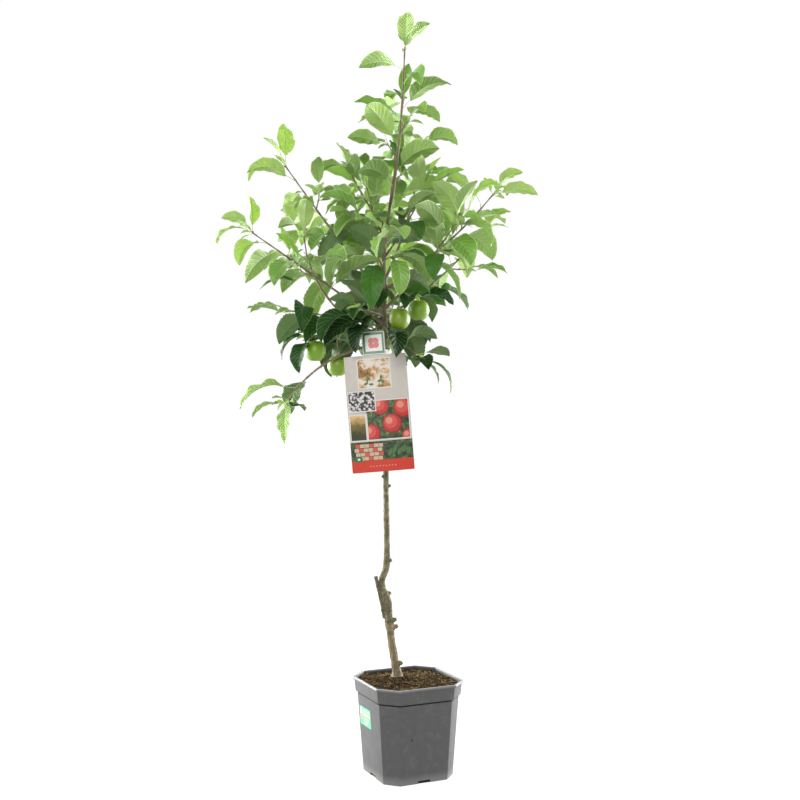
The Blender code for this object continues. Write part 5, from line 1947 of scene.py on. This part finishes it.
INKS = {
    "linen": uneven((0.396, 0.360, 0.323), (0.462, 0.422, 0.383), 90.0),
    "white": uneven((0.528, 0.515, 0.488), (0.568, 0.554, 0.528)),
    "straw": straw_ink,
    "petals": petal_ink,
    "thicket": thicket_ink,
    "evening": evening_ink,
    "deep red": uneven((0.158, 0.008, 0.008), (0.224, 0.015, 0.012)),
    "red": uneven((0.317, 0.020, 0.016), (0.396, 0.033, 0.024)),
    "rose": uneven((0.462, 0.050, 0.040), (0.528, 0.076, 0.056)),
    "blush": uneven((0.515, 0.172, 0.132), (0.554, 0.238, 0.185)),
    "amber": uneven((0.363, 0.172, 0.033), (0.462, 0.251, 0.053)),
    "leaf": uneven((0.040, 0.099, 0.023), (0.079, 0.165, 0.043)),
    "forest": uneven((0.008, 0.099, 0.033), (0.012, 0.132, 0.046)),
    "band": uneven((0.422, 0.024, 0.008), (0.488, 0.034, 0.012)),
    "wicker": uneven((0.409, 0.277, 0.172), (0.502, 0.383, 0.277), 400.0),
}
INK_NUMBERS = {name: number for number, name in enumerate(INKS)}
CARD_SHAPE = CARD_HEIGHT / CARD_WIDTH
print(len(INKS), "inks")

# %% Shapes of ink
print_pile = Pile()


def patch(layer, colour, left, right, low, high):
    """A rectangle of ink that follows the card's bow."""
    columns = max(2, round((right - left) * 18))
    rows = max(2, round((high - low) * 16))
    print_pile.add(*grid_patch(printed(layer), left, right, low, high, columns, rows), INK_NUMBERS[colour])


def picture(layer, colour, left, right, low, high):
    """A patch of ink in a thin white frame."""
    frame_across = 0.016
    frame_up = frame_across / CARD_SHAPE
    patch(layer, "white", left, right, low, high)
    patch(layer + 1, colour, left + frame_across, right - frame_across, low + frame_up, high - frame_up)


def blob(layer, colour, x, y, radius, tall=1.0, turn=0.0, petals=0, depth=0.0, sides=42, within=(0, 1, 0, 2)):
    """A round patch of ink, squeezed by tall and turned, or scalloped into petals, and cut off by a frame."""
    plain = printed(layer)
    left, right, low, high = within

    def to_card(across, up):
        return plain(min(max(across, left), right), min(max(up, low), high))

    points = [to_card(x, y)]
    for k in range(sides):
        angle = math.tau * k / sides
        reach = radius * (1 - depth * (0.5 + 0.5 * math.cos(petals * angle)))
        across, up = reach * math.cos(angle), reach * tall * math.sin(angle)
        c, s = math.cos(turn), math.sin(turn)
        points.append(to_card(x + across * c - up * s, y + (across * s + up * c) / CARD_SHAPE))
    faces = [(0, 1 + k, 1 + (k + 1) % sides) for k in range(sides)]
    print_pile.add(points, faces, INK_NUMBERS[colour])


def leaf_shape(layer, colour, x, y, length, turn):
    """A pointed oval of ink."""
    to_card = printed(layer)
    points = []
    for k in range(16):
        share = k / 15
        points.append((share * length, 0.24 * length * math.sin(math.pi * share) ** 0.9))
    outline = points + [(a, -b) for a, b in reversed(points[1:-1])]
    c, s = math.cos(turn), math.sin(turn)
    placed = [to_card(x + a * c - b * s, y + (a * s + b * c) / CARD_SHAPE) for a, b in outline]
    print_pile.add(placed, [tuple(range(len(placed)))], INK_NUMBERS[colour])


def rosette(layer, x, y, radius, turn, within):
    """A round flower: scalloped rounds, each smaller, lighter and nearer the light, on a dark one."""
    for k, (colour, share) in enumerate((("deep red", 1.0), ("red", 0.90), ("rose", 0.66), ("blush", 0.34))):
        move = (1 - share) * 0.45 * radius
        middle = x - move, y + move / CARD_SHAPE
        blob(layer + k, colour, *middle, radius * share, turn=turn, petals=9, depth=0.07, within=within)


# %% Print the card
rng = random.Random(5)
patch(1, "linen", 0.002, 0.998, 0.001, 0.999)
picture(2, "straw", 0.20, 0.74, 0.715, 0.975)
for k in range(7):
    leaf_shape(4, "leaf", 0.29 + 0.055 * k, 0.750 + 0.018 * (k % 3), 0.085, 0.4 + 0.9 * (k % 4))
FRAMED = (0.306, 0.969, 0.279, 0.606)
picture(2, "thicket", 0.29, 0.985, 0.270, 0.615)
for k in range(14):
    place = rng.uniform(0.34, 0.84), rng.uniform(0.305, 0.570)
    leaf_shape(4, "leaf" if k % 3 else "thicket", *place, rng.uniform(0.09, 0.15), rng.uniform(0, 6.28))
ROSETTES = (
    (0.53, 0.560, 0.150), (0.90, 0.535, 0.170), (0.70, 0.405, 0.165),
    (0.36, 0.335, 0.150), (0.95, 0.290, 0.120),
)
for x, y, radius in ROSETTES:
    rosette(5, x, y, radius, 7 * x, FRAMED)
picture(2, "evening", 0.012, 0.285, 0.270, 0.500)
picture(9, "petals", 0.012, 0.46, 0.520, 0.700)
patch(2, "thicket", 0.002, 0.998, 0.085, 0.262)
for row in range(4):
    for k in range(6):
        left, low = 0.06 + 0.075 * k + 0.018 * (row % 2), 0.105 + 0.036 * row
        patch(3, "wicker" if (row + k) % 3 else "rose", left, left + 0.070, low, low + 0.030)
for k in range(5):
    leaf_shape(3, "leaf", 0.60 + 0.075 * k, 0.130 + 0.020 * (k % 2), 0.13, 1.1)
patch(4, "band", 0.002, 0.998, 0.001, 0.102)
for k in range(9):
    blob(5, "blush", 0.30 + 0.05 * k, 0.050, 0.011)
blob(5, "forest", 0.12, 0.115, 0.062, tall=0.8)
blob(6, "white", 0.12, 0.115, 0.024, tall=0.8)

# %% The tab's print
def tab_patch(layer, colour, left, right, low, high):
    """A rectangle of ink on the tab, in shares of the card's width and of the tab's height."""
    to_card = printed(layer)
    rise = TAB_HEIGHT / CARD_HEIGHT
    points, faces = grid_patch(lambda x, y: to_card(x, 1 + rise * y), left, right, low, high, 6, 4)
    print_pile.add(points, faces, INK_NUMBERS[colour])


TAB_LEFT = 0.5 - TAB_WIDTH / CARD_WIDTH / 2 + 0.006
TAB_RIGHT = 1 - TAB_LEFT
tab_patch(1, "white", TAB_LEFT, TAB_RIGHT, 0.02, 0.98)
tab_patch(2, "forest", TAB_LEFT + 0.012, TAB_RIGHT - 0.012, 0.05, 0.95)
tab_patch(3, "white", TAB_LEFT + 0.045, TAB_RIGHT - 0.045, 0.16, 0.84)
TAB_MIDDLE = 1 + 0.5 * TAB_HEIGHT / CARD_HEIGHT
for k in range(4):
    angle = math.tau * (k + 0.5) / 4
    blob(4, "band", 0.5 + 0.048 * math.cos(angle), TAB_MIDDLE + 0.048 * math.sin(angle) / CARD_SHAPE, 0.050)
blob(5, "amber", 0.5, TAB_MIDDLE, 0.022)


ink_finishes = [finish("ink " + name, colour, 0.30) for name, colour in INKS.items()]
card_print = print_pile.make("card_print", ink_finishes)
dress(card_print, "label")

# %% [markdown]
# The studio: a white floor, a white backdrop behind the tree, and large soft lamps all round. Two small
# low ones stand where the pot's side walls mirror them to the camera. A world that is white all round
# would make everything flat. So it lights the tree fully only from the side of the backdrop, which gives
# leaves bright edges and the pot's walls a sheen, and is dim elsewhere. To the camera it is white in
# every direction, whichever side the tree is seen from.

# %% Floor, lamps and world
def lamp(name, heading, distance, height, size, power):
    """A square soft lamp that faces the middle of the tree."""
    data = bpy.data.lights.new(name, "AREA")
    data.shape, data.size, data.energy = "SQUARE", size, power
    made = bpy.data.objects.new(name, data)
    bpy.context.scene.collection.objects.link(made)
    place = TO_ROW @ (direction(heading, 0) * distance) + Vector((0, 0, height))
    made.location = place
    made.rotation_euler = (place - Vector((0, 0, 0.75))).to_track_quat("Z", "Y").to_euler()
    return made


FLOOR_GLOW, FLOOR_REACH, FLOOR_LEVEL = 0.90, 30.0, -0.0004
FLOOR_CORNERS = ((-1, -1), (1, -1), (1, 1), (-1, 1))
floor_pile = Pile()
floor_pile.add([(x * FLOOR_REACH, y * FLOOR_REACH, FLOOR_LEVEL) for x, y in FLOOR_CORNERS], [(0, 1, 2, 3)])
glowing = {"Emission Color": rgb(1.0, 1.0, 1.0), "Emission Strength": FLOOR_GLOW}
floor_paint = finish("floor paint", rgb(0.14, 0.14, 0.14), 0.9, **glowing)
floor = floor_pile.make("floor", [floor_paint], planted=False, smooth=False)
floor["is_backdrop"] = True
LAMPS = (
    ("left lamp", 157, 2.4, 1.10, 1.7, 130),
    ("right lamp", 27, 2.4, 1.10, 1.7, 130),
    ("front lamp", 262, 3.2, 2.2, 1.6, 75),
    ("back lamp", 100, 2.2, 2.8, 2.0, 25),
    ("low left lamp", 146, 2.4, 0.75, 0.8, 44),
    ("low right lamp", 36, 2.4, 0.75, 0.8, 44),
)
for values in LAMPS:
    lamp(*values)

BACKDROP, AIR_LIGHT = 1.02, 0.40
world = bpy.data.worlds.new("studio air")
world.use_nodes = True
air = world.node_tree
background = air.nodes["Background"]
background.inputs["Color"].default_value = rgb(1.0, 1.0, 1.0)
seen = Flow(air, air.nodes.new("ShaderNodeLightPath").outputs["Is Camera Ray"])
around = Flow(air, air.nodes.new("ShaderNodeTexCoord").outputs["Generated"])
away = tuple(TO_ROW @ Vector((0.0, 1.0, 0.0)))
behind = around.node("VectorMath", {"operation": "DOT_PRODUCT"}, {0: around, 1: away}, output=1)
white = seen.math("MAXIMUM", seen, behind.above(0.25, 0.35))
air.links.new((white * (BACKDROP - AIR_LIGHT) + AIR_LIGHT).socket, background.inputs["Strength"])
bpy.context.scene.world = world
bpy.context.scene.view_settings.view_transform = "Standard"
print(len(LAMPS), "lamps")

# %% Measure and finish
low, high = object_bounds()
print("dressed box", [round(v, 3) for v in low], [round(v, 3) for v in high])
